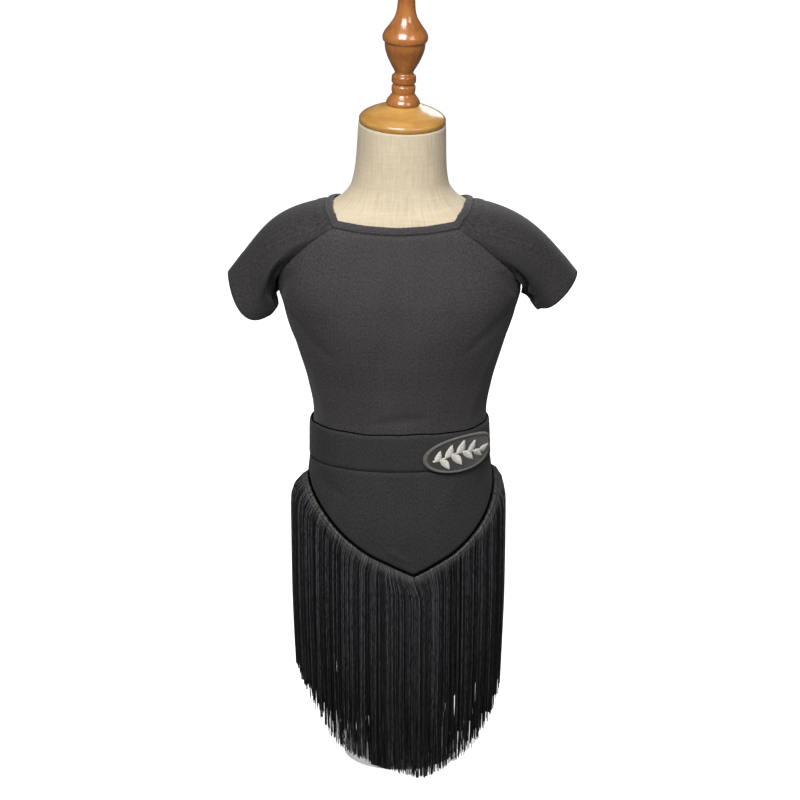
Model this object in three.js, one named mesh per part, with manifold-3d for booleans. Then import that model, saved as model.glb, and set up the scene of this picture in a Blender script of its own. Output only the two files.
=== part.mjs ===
// A child's Latin dance dress on a dress form: short-sleeved raglan top, elastic waistband,
// V-shaped yoke and a long fringe, worn by a linen bust with a turned wooden finial.
// Millimetres, +Z up, the front faces -Y and the wearer's left is +X.
// The origin is the middle of the base plate's underside.
import * as THREE from "three";
import { mergeVertices } from "three/addons/utils/BufferGeometryUtils.js";
import Module from "manifold-3d";

const wasm = await Module();
wasm.setup();

// Driving sizes
const CLOTH = 1.6; // thickness of one layer of jersey
const SEAM_GAP = 0.4; // clear space between two sewn pieces
const SHOULDER_GAP = 0.8; // the same where a sleeve meets the binding, in the neck's hollow
const TOP_LIFT = 1.9; // the top's inner face above the bust
const SKIRT_LIFT = 4.2; // the skirt's inner face above the bust
const BAND_THICK = 2.4; // jersey folded over elastic
const WAIST_Z = 386; // top edge of the waistband
const BAND_HEIGHT = 40;
const TOP_HEM_Z = 352; // where the top ends, behind the waistband
const ARMPIT_Z = 527;
const FRINGE_CLEAR_Z = 6; // the lowest strand ends here
const FRINGE_SHIFT = -1.8; // the fringe hangs a little towards -X
const STRANDS_PER_QUARTER = 58;
const STRAND_RADIUS = 0.95;
const HEADER_HEIGHT = 8; // the braid that the strands hang from
const HEADER_THICK = 7; // several turns of cord stand off the cloth
const BINDING_WIDTH = 8.5;
const BINDING_THICK = 2.2;
const NECK_CORNER_DEG = 50; // the square neckline's corner, measured round from the middle
const TOP_TURN_DEG = -2.5; // the top sits a little turned on the bust
const SKIRT_TURN_DEG = 6; // and the skirt a little the other way
const POINT_PULL_DEG = 4; // the point of the V is pulled further round
const BASE_RADIUS = 62;
const BASE_THICK = 8;
const POST_RADIUS = 12.5;
const FORM_BOTTOM_Z = 120;
const NECK_TOP_Z = 708;
const NECK_TILT = 0.1; // the neck's top plane rises this much per mm towards the back
const NECK_LEAN = 0.034; // and falls this much per mm towards +X
const NECK_SHIFT = 2.4; // the neck's top lies this far towards +X

// The bare bust. One row for each level: half width, depth to the front and to the back,
// how square the section is (2 is an ellipse), and how much of the neck's tilt it has.
const FORM_SECTIONS = [
  { level: 120, width: 92, front: 64, back: 70, square: 2.2, tilt: 0 },
  { level: 160, width: 100, front: 74, back: 80, square: 2.2, tilt: 0 },
  { level: 215, width: 105, front: 80, back: 88, square: 2.2, tilt: 0 },
  { level: 270, width: 102.5, front: 80, back: 86, square: 2.2, tilt: 0 },
  { level: 322, width: 94.6, front: 75.5, back: 77, square: 2.2, tilt: 0 },
  { level: 366, width: 90.4, front: 71, back: 69, square: 2.2, tilt: 0 },
  { level: 396, width: 89.8, front: 70, back: 66, square: 2.2, tilt: 0 },
  { level: 430, width: 95.4, front: 72, back: 69, square: 2.2, tilt: 0 },
  { level: 467, width: 106.2, front: 77, back: 74, square: 2.2, tilt: 0 },
  { level: 500, width: 116.4, front: 80, back: 79, square: 2.3, tilt: 0 },
  { level: 524, width: 124, front: 79.4, back: 81, square: 2.4, tilt: 0 },
  { level: 540, width: 128, front: 77.4, back: 81, square: 2.4, tilt: 0 },
  { level: 560, width: 131, front: 73.6, back: 78, square: 2.4, tilt: 0 },
  { level: 580, width: 132.5, front: 69, back: 73, square: 2.4, tilt: 0 },
  { level: 596, width: 130.5, front: 65, back: 68, square: 2.4, tilt: 0 },
  { level: 605, width: 123, front: 61.5, back: 63, square: 2.3, tilt: 0 },
  { level: 612, width: 108, front: 59, back: 60, square: 2.2, tilt: 0 },
  { level: 619, width: 87, front: 55.5, back: 56, square: 2.1, tilt: 0 },
  { level: 625, width: 71, front: 52, back: 53, square: 2, tilt: 0 },
  { level: 633, width: 59.5, front: 50, back: 51, square: 2, tilt: 0 },
  { level: 645, width: 51.6, front: 48, back: 50, square: 2, tilt: 0.1 },
  { level: 668, width: 48, front: 46.5, back: 48, square: 2, tilt: 0.5 },
  { level: 708, width: 46.2, front: 45, back: 46.5, square: 2, tilt: 1 },
];

// The hanging fringe's section at each height, clear of the hips.
const CURTAIN_SECTIONS = [
  { level: 10, width: 109, front: 90, back: 95 },
  { level: 120, width: 113.5, front: 91.5, back: 98 },
  { level: 200, width: 116, front: 92, back: 99 },
  { level: 290, width: 116.5, front: 91.5, back: 97 },
  { level: 325, width: 113.5, front: 90, back: 93 },
];

// Half of the neckline's edge, from the middle of the front or back round to the shoulder.
const NECKLINE = [
  { turn: 0, front: 607.5, back: 613 },
  { turn: 28, front: 609, back: 614 },
  { turn: 50, front: 612, back: 615.5 },
  { turn: 56, front: 617, back: 619 },
  { turn: 64, front: 620.5, back: 621.5 },
  { turn: 76, front: 624.2, back: 624.5 },
  { turn: 90, front: 626, back: 626 },
];

// Half of a raglan seam, from the neckline's corner down to the armpit.
const RAGLAN = [
  { turn: 50, level: 604 },
  { turn: 58, level: 589 },
  { turn: 63.5, level: 576 },
  { turn: 70, level: 562 },
  { turn: 76.5, level: 549.5 },
  { turn: 83, level: 537.5 },
  { turn: 90, level: 527 },
];

// The yoke's V-shaped lower edge, the same front and back, from the point round to the side.
const V_EDGE = [
  { turn: 0, level: 235 },
  { turn: 10, level: 242 },
  { turn: 20, level: 249.5 },
  { turn: 30, level: 257.5 },
  { turn: 40, level: 268.5 },
  { turn: 50, level: 281.5 },
  { turn: 60, level: 295.5 },
  { turn: 70, level: 308.5 },
  { turn: 80, level: 320 },
  { turn: 90, level: 331 },
];

// How long the fringe hangs, from the wearer's right side round the front to the left. The back
// is the same, seen through the bust.
const FRINGE_LENGTHS = [
  { turn: -90, length: 214 },
  { turn: -70, length: 224 },
  { turn: -50, length: 238 },
  { turn: -25, length: 231 },
  { turn: 0, length: 230 },
  { turn: 25, length: 235 },
  { turn: 48, length: 243 },
  { turn: 70, length: 236 },
  { turn: 90, length: 228 },
];

// The two sleeves: side, how far out the cuff's middle is, its half width below that, how far
// its front edge drops, how deep its underarm fold is, and how far it keeps the direction that
// it leaves its seam and reaches its cuff with, as a share of its length.
const SLEEVES = [
  {
    name: "sleeve_right", side: -1, reachOut: 157.5, low: 31, frontDrop: 20, fold: 2,
    handle: 0.47,
  },
  {
    name: "sleeve_left", side: 1, reachOut: 163, low: 25, frontDrop: 5, fold: 3,
    handle: 0.41,
  },
];

// Small helpers

const radians = THREE.MathUtils.degToRad;
const mix = THREE.MathUtils.lerp;

// A smooth curve through one column of a table that never overshoots its rows.
function smoothColumn(rows, input, output) {
  const x = rows.map((row) => row[input]);
  const y = rows.map((row) => row[output]);
  const rise = x.slice(1).map((next, i) => (y[i + 1] - y[i]) / (next - x[i]));
  const slope = y.map((_, i) => {
    if (i === 0) return rise[0];
    if (i === y.length - 1) return rise[i - 1];
    const product = rise[i - 1] * rise[i];
    return product <= 0 ? 0 : (2 * product) / (rise[i - 1] + rise[i]);
  });
  return (at) => {
    const clamped = Math.min(Math.max(at, x[0]), x[x.length - 1]);
    let i = 0;
    while (i < x.length - 2 && clamped > x[i + 1]) i += 1;
    const step = x[i + 1] - x[i];
    const t = (clamped - x[i]) / step;
    const h = (1 - t) * (1 - t);
    return (
      y[i] * (1 + 2 * t) * h +
      slope[i] * step * t * h +
      y[i + 1] * t * t * (3 - 2 * t) +
      slope[i + 1] * step * t * t * (t - 1)
    );
  };
}

// The same with straight lines between the rows, for edges that have corners.
function straightColumn(rows, input, output) {
  return (at) => {
    let i = 0;
    while (i < rows.length - 2 && at > rows[i + 1][input]) i += 1;
    const t = (at - rows[i][input]) / (rows[i + 1][input] - rows[i][input]);
    return mix(rows[i][output], rows[i + 1][output], Math.min(Math.max(t, 0), 1));
  };
}

// A closed mesh from points and triangles, turned to face out.
function closedGeometry(points, triangles) {
  let volume = 0;
  for (const [a, b, c] of triangles)
    volume += points[a].dot(new THREE.Vector3().crossVectors(points[b], points[c]));
  const facing = volume < 0 ? triangles.map(([a, b, c]) => [a, c, b]) : triangles;
  const geometry = new THREE.BufferGeometry();
  geometry.setAttribute(
    "position",
    new THREE.Float32BufferAttribute(points.flatMap((p) => p.toArray()), 3),
  );
  geometry.setIndex(facing.flat());
  geometry.computeVertexNormals();
  return geometry;
}

// A wall between two lifts over a grid of columns (u) and rows (v). A ring closes on itself in u.
function wallGeometry({ columns, rows, pointAt, inner, outer, ring = false }) {
  const across = ring ? columns : columns + 1;
  const points = [];
  for (const lift of [outer, inner])
    for (let j = 0; j <= rows; j += 1)
      for (let i = 0; i < across; i += 1)
        points.push(pointAt(i / columns, j / rows, lift));
  const layer = across * (rows + 1);
  const index = (side, i, j) => side * layer + j * across + (i % across);
  const triangles = [];
  const quad = (a, b, c, d) => triangles.push([a, b, c], [a, c, d]);
  for (let j = 0; j < rows; j += 1)
    for (let i = 0; i < columns; i += 1) {
      quad(index(0, i, j), index(0, i + 1, j), index(0, i + 1, j + 1), index(0, i, j + 1));
      quad(index(1, i, j), index(1, i, j + 1), index(1, i + 1, j + 1), index(1, i + 1, j));
    }
  for (let i = 0; i < columns; i += 1) {
    quad(index(0, i, 0), index(1, i, 0), index(1, i + 1, 0), index(0, i + 1, 0));
    quad(index(0, i, rows), index(0, i + 1, rows), index(1, i + 1, rows), index(1, i, rows));
  }
  if (!ring)
    for (let j = 0; j < rows; j += 1) {
      quad(index(0, 0, j), index(0, 0, j + 1), index(1, 0, j + 1), index(1, 0, j));
      quad(
        index(0, columns, j),
        index(1, columns, j),
        index(1, columns, j + 1),
        index(0, columns, j + 1),
      );
    }
  return closedGeometry(points, triangles);
}

// A solid through a stack of rings, closed at both ends.
function stackGeometry(rings) {
  const around = rings[0].length;
  const points = rings.flat();
  const triangles = [];
  for (let j = 0; j < rings.length - 1; j += 1)
    for (let i = 0; i < around; i += 1) {
      const a = j * around + i;
      const b = j * around + ((i + 1) % around);
      triangles.push([a, b, b + around], [a, b + around, a + around]);
    }
  const last = (rings.length - 1) * around;
  if (around === 3) {
    triangles.push([0, 2, 1], [last, last + 1, last + 2]);
    return closedGeometry(points, triangles);
  }
  for (const [start, turned] of [
    [0, true],
    [last, false],
  ]) {
    const middle = new THREE.Vector3();
    for (let i = 0; i < around; i += 1)
      middle.addScaledVector(points[start + i], 1 / around);
    points.push(middle);
    for (let i = 0; i < around; i += 1) {
      const next = start + ((i + 1) % around);
      triangles.push(
        turned ? [points.length - 1, next, start + i] : [points.length - 1, start + i, next],
      );
    }
  }
  return closedGeometry(points, triangles);
}

// A turned piece from a table of radius and height, standing on Z.
function turnedGeometry(profile, sides) {
  const outline = [
    new THREE.Vector2(0, profile[0].height),
    ...profile.map((row) => new THREE.Vector2(row.radius, row.height)),
    new THREE.Vector2(0, profile[profile.length - 1].height),
  ];
  return new THREE.LatheGeometry(outline, sides).rotateX(Math.PI / 2);
}

// The same mesh as a solid that can be joined.
function solidFrom(geometry) {
  const bare = new THREE.BufferGeometry();
  bare.setAttribute("position", geometry.getAttribute("position"));
  bare.setIndex(geometry.index);
  const merged = mergeVertices(bare, 1e-4);
  return new wasm.Manifold(
    new wasm.Mesh({
      numProp: 3,
      vertProperties: merged.attributes.position.array,
      triVerts: new Uint32Array(merged.index.array),
    }),
  );
}

function geometryFrom(solid) {
  const mesh = solid.getMesh();
  const geometry = new THREE.BufferGeometry();
  geometry.setAttribute("position", new THREE.BufferAttribute(mesh.vertProperties, 3));
  geometry.setIndex(new THREE.BufferAttribute(mesh.triVerts, 1));
  geometry.computeVertexNormals();
  return geometry;
}

// The bust's surface

const formColumn = Object.fromEntries(
  ["width", "front", "back", "square", "tilt"].map((key) => [
    key,
    smoothColumn(FORM_SECTIONS, "level", key),
  ]),
);

// A point on the bare bust. The angle runs from the middle of the front towards +X.
function figurePoint(level, angle) {
  const sine = Math.sin(angle);
  const cosine = Math.cos(angle);
  const depth = cosine > 0 ? formColumn.front(level) : formColumn.back(level);
  const power = formColumn.square(level);
  const radius =
    (Math.abs(sine / formColumn.width(level)) ** power + Math.abs(cosine / depth) ** power) **
    (-1 / power);
  const y = -radius * cosine;
  const x = radius * sine;
  const tilt = formColumn.tilt(level);
  const rise = NECK_TILT * y - NECK_LEAN * x;
  return new THREE.Vector3(x + NECK_SHIFT * tilt, y, level + rise * tilt);
}

// The same point moved out from the bust, square to its surface.
function liftedPoint(level, angle, lift) {
  const along = figurePoint(level + 0.6, angle).sub(figurePoint(level - 0.6, angle));
  const round = figurePoint(level, angle + 0.02).sub(figurePoint(level, angle - 0.02));
  const normal = round.cross(along).normalize();
  return figurePoint(level, angle).addScaledVector(normal, lift);
}

// The level that lies a given distance down the surface from another.
function levelBelow(level, angle, distance) {
  let travelled = 0;
  let at = level;
  let point = figurePoint(at, angle);
  while (travelled < distance) {
    const next = figurePoint(at - 0.25, angle);
    travelled += next.distanceTo(point);
    point = next;
    at -= 0.25;
  }
  return at;
}

// A turn round the body, in degrees from -180 to 180, folded into front or back and 0 to 90.
function foldTurn(turn) {
  const wrapped = ((((turn + 180) % 360) + 360) % 360) - 180;
  const away = Math.abs(wrapped);
  return { isFront: away <= 90, turn: away <= 90 ? away : 180 - away };
}

const topAngle = (turn) => radians(turn + TOP_TURN_DEG);
const skirtAngle = (turn) => {
  const pull = POINT_PULL_DEG * Math.max(0, Math.cos(radians(turn))) ** 6;
  return radians(turn + SKIRT_TURN_DEG + pull);
};

// Edges of the top

const necklineFront = straightColumn(NECKLINE, "turn", "front");
const necklineBack = straightColumn(NECKLINE, "turn", "back");
const raglanTurn = smoothColumn([...RAGLAN].reverse(), "level", "turn");

function necklineLevel(turn) {
  const folded = foldTurn(turn);
  return (folded.isFront ? necklineFront : necklineBack)(folded.turn);
}

// The lower edge of the neck binding, where the panels and sleeves begin.
function bindingLevel(turn, extra = 0) {
  return levelBelow(necklineLevel(turn), topAngle(turn), BINDING_WIDTH + extra);
}

// The highest point of a raglan seam, on one side of the front or back.
function cornerLevel(face, side) {
  const turn = face === "front" ? NECK_CORNER_DEG : 180 - NECK_CORNER_DEG;
  return bindingLevel(side * turn, SEAM_GAP);
}

// Crowds a panel's columns towards its sides, where the body turns fastest.
const crowd = (across) => Math.sign(across) * (1 - (1 - Math.abs(across)) ** 1.35);

// How far round a raglan seam is, for a share of its height above the armpit.
const raglanShareTurn = (share) => raglanTurn(mix(ARMPIT_Z, RAGLAN[0].level, share));

// Front or back of the top: from the waistband up to the binding, between the raglan seams.
function topPanel(face) {
  const middle = face === "front" ? 0 : 180;
  const topEdge = bindingLevel(middle, SEAM_GAP);
  const seamDegrees = 0.3;
  const rows = 14;
  const armpitRow = 8 / rows; // the row that meets the armpit
  const edgeAt = (v, side) => {
    if (v <= armpitRow)
      return { turn: 90 - seamDegrees, level: mix(TOP_HEM_Z, ARMPIT_Z, v / armpitRow) };
    const share = (v - armpitRow) / (1 - armpitRow);
    return {
      turn: raglanShareTurn(share) - seamDegrees,
      level: mix(ARMPIT_Z, cornerLevel(face, face === "front" ? side : -side), share),
    };
  };
  const levelAt = (across, v) => {
    const middleLevel = mix(TOP_HEM_Z, topEdge, v);
    return mix(middleLevel, edgeAt(v, Math.sign(across)).level, across * across);
  };
  return wallGeometry({
    columns: 20,
    rows,
    inner: TOP_LIFT,
    outer: TOP_LIFT + CLOTH,
    pointAt: (u, v, lift) => {
      const across = crowd(u * 2 - 1);
      const turn = middle + across * edgeAt(v, Math.sign(across)).turn;
      const topTurn = middle + across * edgeAt(1, Math.sign(across)).turn;
      const bend = bindingLevel(topTurn, SEAM_GAP) - levelAt(across, 1);
      return liftedPoint(levelAt(across, v) + bend * v ** 8, topAngle(turn), lift);
    },
  });
}

// The strip that binds the neckline, one ring with square corners at the front and back.
const BINDING_TURNS = [0, 12, 25, 38, NECK_CORNER_DEG, 56, 64, 74, 82, 90];

function neckBinding() {
  const turns = [...new Set(BINDING_TURNS.flatMap((turn) => [turn, -turn, 180 - turn, turn - 180]))]
    .filter((turn) => turn > -180)
    .sort((a, b) => a - b);
  return wallGeometry({
    columns: turns.length,
    rows: 1,
    ring: true,
    inner: TOP_LIFT,
    outer: TOP_LIFT + BINDING_THICK,
    pointAt: (u, v, lift) => {
      const turn = turns[Math.round(u * turns.length) % turns.length];
      const level = v === 0 ? bindingLevel(turn) : necklineLevel(turn);
      return liftedPoint(level, topAngle(turn), lift);
    },
  });
}

// A half ring of a sleeve, from the shoulder's top (0) to the armpit (0.5). The first
// stations lie under the binding and the rest along a raglan seam.
const CORNER_SHARE = 0.13;
const UNDER_BINDING = [90, 82, 74, 64, 56, NECK_CORNER_DEG];
const RAGLAN_STEPS = 9;
const SLEEVE_STATIONS = [
  ...UNDER_BINDING.map((turn) => (CORNER_SHARE * (90 - turn)) / (90 - NECK_CORNER_DEG)),
  ...Array.from({ length: RAGLAN_STEPS }, (_, i) =>
    mix(CORNER_SHARE, 0.5, (i + 1) / RAGLAN_STEPS),
  ),
];

// A raglan sleeve. It starts along the raglan seams and the binding, runs out over the
// shoulder and ends at the open cuff.
const CUFF = { level: 527, high: 32.5, deep: 40, backDrop: 6 };
const SLEEVE_FALL = { top: -0.16, under: -0.35 }; // how steeply it leaves the seam

function sleeve({ side, reachOut, low, frontDrop, fold, handle }) {
  const seamDegrees = 0.35;
  const middleLift = TOP_LIFT + CLOTH / 2;
  const armpitLift = middleLift + CLOTH + SEAM_GAP; // where it stands on the panels' sides
  const down = new THREE.Vector3(side * 0.615, 0, -0.789); // along the arm, out of the cuff
  const up = new THREE.Vector3(side * 0.789, 0, 0.615); // to the cuff's upper corner
  const stations = [
    ...SLEEVE_STATIONS,
    ...SLEEVE_STATIONS.slice(1, -1)
      .reverse()
      .map((share) => 1 - share),
  ];
  const atArmpit = (share) => THREE.MathUtils.smoothstep(0.5 - Math.abs(0.5 - share), 0.3, 0.44);

  const seamPlace = (share) => {
    const face = share <= 0.5 ? "front" : "back";
    const half = share <= 0.5 ? share : 1 - share;
    const turned = (turn) => side * (face === "front" ? turn : 180 - turn);
    if (half <= CORNER_SHARE) {
      const turn = turned(mix(90, NECK_CORNER_DEG + seamDegrees, half / CORNER_SHARE));
      return { level: bindingLevel(turn, SHOULDER_GAP), turn };
    }
    const height = 1 - (half - CORNER_SHARE) / (0.5 - CORNER_SHARE);
    return {
      level: mix(ARMPIT_Z, cornerLevel(face, side), height),
      turn: turned(raglanShareTurn(height) + seamDegrees),
    };
  };
  const seamPoint = (share, lift) => {
    const place = seamPlace(share);
    return liftedPoint(place.level, topAngle(place.turn), lift);
  };
  const seamMiddle = (share) =>
    seamPoint(share, mix(middleLift, armpitLift, atArmpit(share)));

  const cuffPoint = (share) => {
    const angle = share * Math.PI * 2;
    const across = Math.cos(angle);
    const forward = Math.sin(angle);
    const drop = (forward > 0 ? frontDrop : CUFF.backDrop) * forward * forward;
    const crumple = fold * Math.max(0, -across) ** 3 * Math.cos(angle * 7);
    const hang = new THREE.Vector3(side * 0.3, 0, -0.95); // the loose front edge falls steeper
    return new THREE.Vector3(side * reachOut, -CUFF.deep * forward, CUFF.level)
      .addScaledVector(up, (across > 0 ? CUFF.high : low) * across)
      .addScaledVector(hang, drop)
      .addScaledVector(down, crumple);
  };
  const surface = (share, v) => {
    const start = seamMiddle(share);
    const end = cuffPoint(share);
    const reach = start.distanceTo(end) * handle;
    const lowness = THREE.MathUtils.smoothstep(Math.min(share, 1 - share), 0, 0.2);
    const fall = mix(SLEEVE_FALL.top, SLEEVE_FALL.under, lowness);
    const out = new THREE.Vector3(side, 0, fall).normalize();
    const curve = new THREE.CubicBezierCurve3(
      start,
      start.clone().addScaledVector(out, reach),
      end.clone().addScaledVector(down, -reach),
      end,
    );
    return curve.getPoint(v);
  };
  const wrap = (share) => ((share % 1) + 1) % 1;
  const outward = (share, v) => {
    const along = surface(share, Math.min(v + 0.03, 1)).sub(surface(share, Math.max(v - 0.03, 0)));
    const round = surface(wrap(share + 0.012), v).sub(surface(wrap(share - 0.012), v));
    return along.cross(round).normalize().multiplyScalar(-side);
  };

  return wallGeometry({
    columns: stations.length,
    rows: 6,
    ring: true,
    inner: -CLOTH / 2,
    outer: CLOTH / 2,
    pointAt: (u, v, lift) => {
      const share = stations[Math.round(u * stations.length) % stations.length];
      const normal = outward(share, Math.max(v, 0.04));
      if (v === 0) {
        const seamNormal = seamPoint(share, 1).sub(seamPoint(share, 0));
        normal.lerp(seamNormal, 1 - atArmpit(share)).normalize();
        return seamMiddle(share).addScaledVector(normal, lift);
      }
      return surface(share, v).addScaledVector(normal, lift);
    },
  });
}

// Edges and pieces of the skirt

const vEdge = smoothColumn(V_EDGE, "turn", "level");
const vLevel = (turn) => vEdge(foldTurn(turn).turn);
const curtainColumn = Object.fromEntries(
  ["width", "front", "back"].map((key) => [key, smoothColumn(CURTAIN_SECTIONS, "level", key)]),
);

function curtainPoint(level, angle) {
  const sine = Math.sin(angle);
  const cosine = Math.cos(angle);
  const depth = cosine > 0 ? curtainColumn.front(level) : curtainColumn.back(level);
  const radius = 1 / Math.hypot(sine / curtainColumn.width(level), cosine / depth);
  return new THREE.Vector3(FRINGE_SHIFT + radius * sine, -radius * cosine, level);
}

// The elastic waistband, a ring that both the top and the yoke are sewn to.
function waistband() {
  return wallGeometry({
    columns: 48,
    rows: 2,
    ring: true,
    inner: SKIRT_LIFT,
    outer: SKIRT_LIFT + BAND_THICK,
    pointAt: (u, v, lift) =>
      liftedPoint(WAIST_Z - BAND_HEIGHT * v, skirtAngle(u * 360), lift),
  });
}

// Front or back of the yoke, from the waistband down to the V.
function yokePanel(middle) {
  const seamDegrees = 0.2;
  const topEdge = WAIST_Z - BAND_HEIGHT - SEAM_GAP;
  return wallGeometry({
    columns: 20,
    rows: 4,
    inner: SKIRT_LIFT,
    outer: SKIRT_LIFT + CLOTH,
    pointAt: (u, v, lift) => {
      const turn = middle + (u * 2 - 1) * (90 - seamDegrees);
      return liftedPoint(mix(topEdge, vLevel(turn), v), skirtAngle(turn), lift);
    },
  });
}

// Equal steps along a quarter of the hanging fringe, as turns from the point of the V.
function strandTurns(side, middle) {
  const samples = 180;
  const turnAt = (i) => middle + (side * 90 * i) / samples;
  const lengths = [0];
  for (let i = 1; i <= samples; i += 1) {
    const here = curtainPoint(200, skirtAngle(turnAt(i)));
    const before = curtainPoint(200, skirtAngle(turnAt(i - 1)));
    lengths.push(lengths[i - 1] + here.distanceTo(before));
  }
  const total = lengths[samples];
  return Array.from({ length: STRANDS_PER_QUARTER }, (_, strand) => {
    const wanted = (total * (strand + 0.5)) / STRANDS_PER_QUARTER;
    const i = lengths.findIndex((length) => length >= wanted);
    return turnAt(i - 1 + (wanted - lengths[i - 1]) / (lengths[i] - lengths[i - 1]));
  });
}

const frontFringeLength = smoothColumn(FRINGE_LENGTHS, "turn", "length");
const fringeLength = (turn) => frontFringeLength(Math.abs(turn) <= 90 ? turn : 180 - turn);

// One strand of three sides, from inside the header out and down to its end.
function strandSolid(turn, order) {
  const angle = skirtAngle(turn);
  const top = vLevel(turn) - SEAM_GAP;
  const uneven = 4 * Math.sin(order * 2.4) + 3 * Math.sin(order * 5.1);
  const end = Math.max(top - fringeLength(turn) + uneven, FRINGE_CLEAR_Z);
  const path = [
    liftedPoint(top - HEADER_HEIGHT * 0.6, angle, SKIRT_LIFT + HEADER_THICK * 0.55),
    curtainPoint(top - 20, angle),
    curtainPoint(end, angle),
  ];
  const rings = path.map((at) =>
    [0, 1, 2].map((corner) => {
      const spin = angle + (corner * 2 * Math.PI) / 3;
      return new THREE.Vector3(
        at.x + STRAND_RADIUS * Math.sin(spin),
        at.y - STRAND_RADIUS * Math.cos(spin),
        at.z,
      );
    }),
  );
  return solidFrom(stackGeometry(rings));
}

// A quarter of the fringe: its header along the V, with the strands joined to it.
function fringeQuarter(side, middle) {
  const seamDegrees = 0.25;
  const header = wallGeometry({
    columns: 14,
    rows: 1,
    inner: SKIRT_LIFT,
    outer: SKIRT_LIFT + HEADER_THICK,
    pointAt: (u, v, lift) => {
      const turn = middle + side * mix(seamDegrees, 90 - seamDegrees, u);
      const level = vLevel(turn) - SEAM_GAP * 1.5 - HEADER_HEIGHT * v;
      return liftedPoint(level, skirtAngle(turn), lift);
    },
  });
  const strands = strandTurns(side, middle).map(strandSolid);
  return geometryFrom(strands.reduce((joined, strand) => joined.add(strand), solidFrom(header)));
}

// The top's unfastened gusset tail, hanging behind the front of the fringe.
const TAIL_HANG_Z = 240; // it follows the bust down to here and then hangs straight
const TAIL = { from: -24, to: 30, top: 262, lowLeft: 72, lowRight: 50 };
const STRAP = { from: -22, to: -10.5, lowLeft: 15, lowRight: 10 };

function hangingPoint(level, turn, lift) {
  const point = liftedPoint(Math.max(level, TAIL_HANG_Z), radians(turn), lift);
  return point.setZ(level);
}

const tailHem = (turn) =>
  mix(TAIL.lowLeft, TAIL.lowRight, (turn - TAIL.from) / (TAIL.to - TAIL.from));

function gussetTail() {
  return wallGeometry({
    columns: 8,
    rows: 7,
    inner: 0.7,
    outer: 0.7 + CLOTH,
    pointAt: (u, v, lift) => {
      const turn = mix(TAIL.from, TAIL.to, u);
      return hangingPoint(mix(TAIL.top, tailHem(turn), v), turn, lift);
    },
  });
}

function gussetStrap() {
  return wallGeometry({
    columns: 2,
    rows: 2,
    inner: 0.7,
    outer: 0.7 + CLOTH,
    pointAt: (u, v, lift) => {
      const turn = mix(STRAP.from, STRAP.to, u);
      const hem = mix(STRAP.lowLeft, STRAP.lowRight, u);
      return hangingPoint(mix(tailHem(turn) - SEAM_GAP, hem, v), turn, lift);
    },
  });
}

// A plain oval badge on the waistband, curved with it.
const BADGE = { turn: 48, level: 363, halfLong: 46, halfTall: 19, tiltDeg: 5, thick: 1.8 };

function badge() {
  const seat = SKIRT_LIFT + BAND_THICK + 0.8;
  const centre = liftedPoint(BADGE.level, radians(BADGE.turn), seat);
  const radius = Math.hypot(centre.x, centre.y);
  const tilt = radians(BADGE.tiltDeg);
  const ringShares = [1, 0.75, 0.5, 0.25];
  const spokes = 24;
  const face = (lift) =>
    ringShares.map((share) =>
      Array.from({ length: spokes }, (_, i) => {
        const spin = (i / spokes) * Math.PI * 2;
        const long = BADGE.halfLong * share * Math.cos(spin);
        const tall = BADGE.halfTall * share * Math.sin(spin);
        const across = long * Math.cos(tilt) - tall * Math.sin(tilt);
        const upward = long * Math.sin(tilt) + tall * Math.cos(tilt);
        return liftedPoint(
          BADGE.level + upward,
          radians(BADGE.turn) + across / radius,
          lift,
        );
      }),
    );
  return stackGeometry([...face(seat).reverse(), ...face(seat + BADGE.thick)]);
}

// The bust and its stand

function formBody() {
  const levels = [
    126, 150, 185, 215, 245, 270, 300, 330, 366, 396, 425, 455, 483, 505, 527, 545, 562, 580, 593,
    602, 607.5, 613, 618, 623, 628, 634, 643, 658, 682, NECK_TOP_Z,
  ];
  const around = 36;
  const ring = (level, lift) =>
    Array.from({ length: around }, (_, i) =>
      lift === 0
        ? figurePoint(level, (i / around) * Math.PI * 2)
        : liftedPoint(level, (i / around) * Math.PI * 2, lift),
    );
  const foot = ring(FORM_BOTTOM_Z + 6, -6).map((point) => point.setZ(FORM_BOTTOM_Z));
  return stackGeometry([foot, ...levels.map((level) => ring(level, 0))]);
}

// Radius and height of the domed wooden cap on the neck.
const CAP_PROFILE = [
  { radius: 43.5, height: 0.4 },
  { radius: 45.4, height: 2 },
  { radius: 45.9, height: 4.6 },
  { radius: 44.7, height: 7.2 },
  { radius: 39.5, height: 11.2 },
  { radius: 30, height: 15.6 },
  { radius: 22, height: 18.6 },
  { radius: 18.6, height: 20.4 },
];

// Radius and height of the turned finial, above the cap.
const FINIAL_PROFILE = [
  { radius: 17.4, height: 0 },
  { radius: 18, height: 1.6 },
  { radius: 16.8, height: 5 },
  { radius: 14.2, height: 8.6 },
  { radius: 12, height: 12.6 },
  { radius: 12.6, height: 15 },
  { radius: 12.6, height: 19.4 },
  { radius: 11, height: 21.8 },
  { radius: 12.9, height: 24.6 },
  { radius: 12.9, height: 30 },
  { radius: 9.8, height: 34 },
  { radius: 14, height: 42.6 },
  { radius: 18.2, height: 51.6 },
  { radius: 21, height: 60.7 },
  { radius: 21.6, height: 67 },
  { radius: 23.6, height: 69.5 },
  { radius: 23.9, height: 73 },
  { radius: 22, height: 78 },
  { radius: 17.1, height: 85 },
  { radius: 11.8, height: 94 },
  { radius: 9.8, height: 102 },
  { radius: 9, height: 112 },
  { radius: 8.2, height: 126 },
  { radius: 6.8, height: 137 },
  { radius: 3.6, height: 142 },
];

const BASE_PROFILE = [
  { radius: BASE_RADIUS - 1, height: 0 },
  { radius: BASE_RADIUS, height: 1 },
  { radius: BASE_RADIUS, height: BASE_THICK - 2 },
  { radius: BASE_RADIUS - 2, height: BASE_THICK },
];

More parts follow.
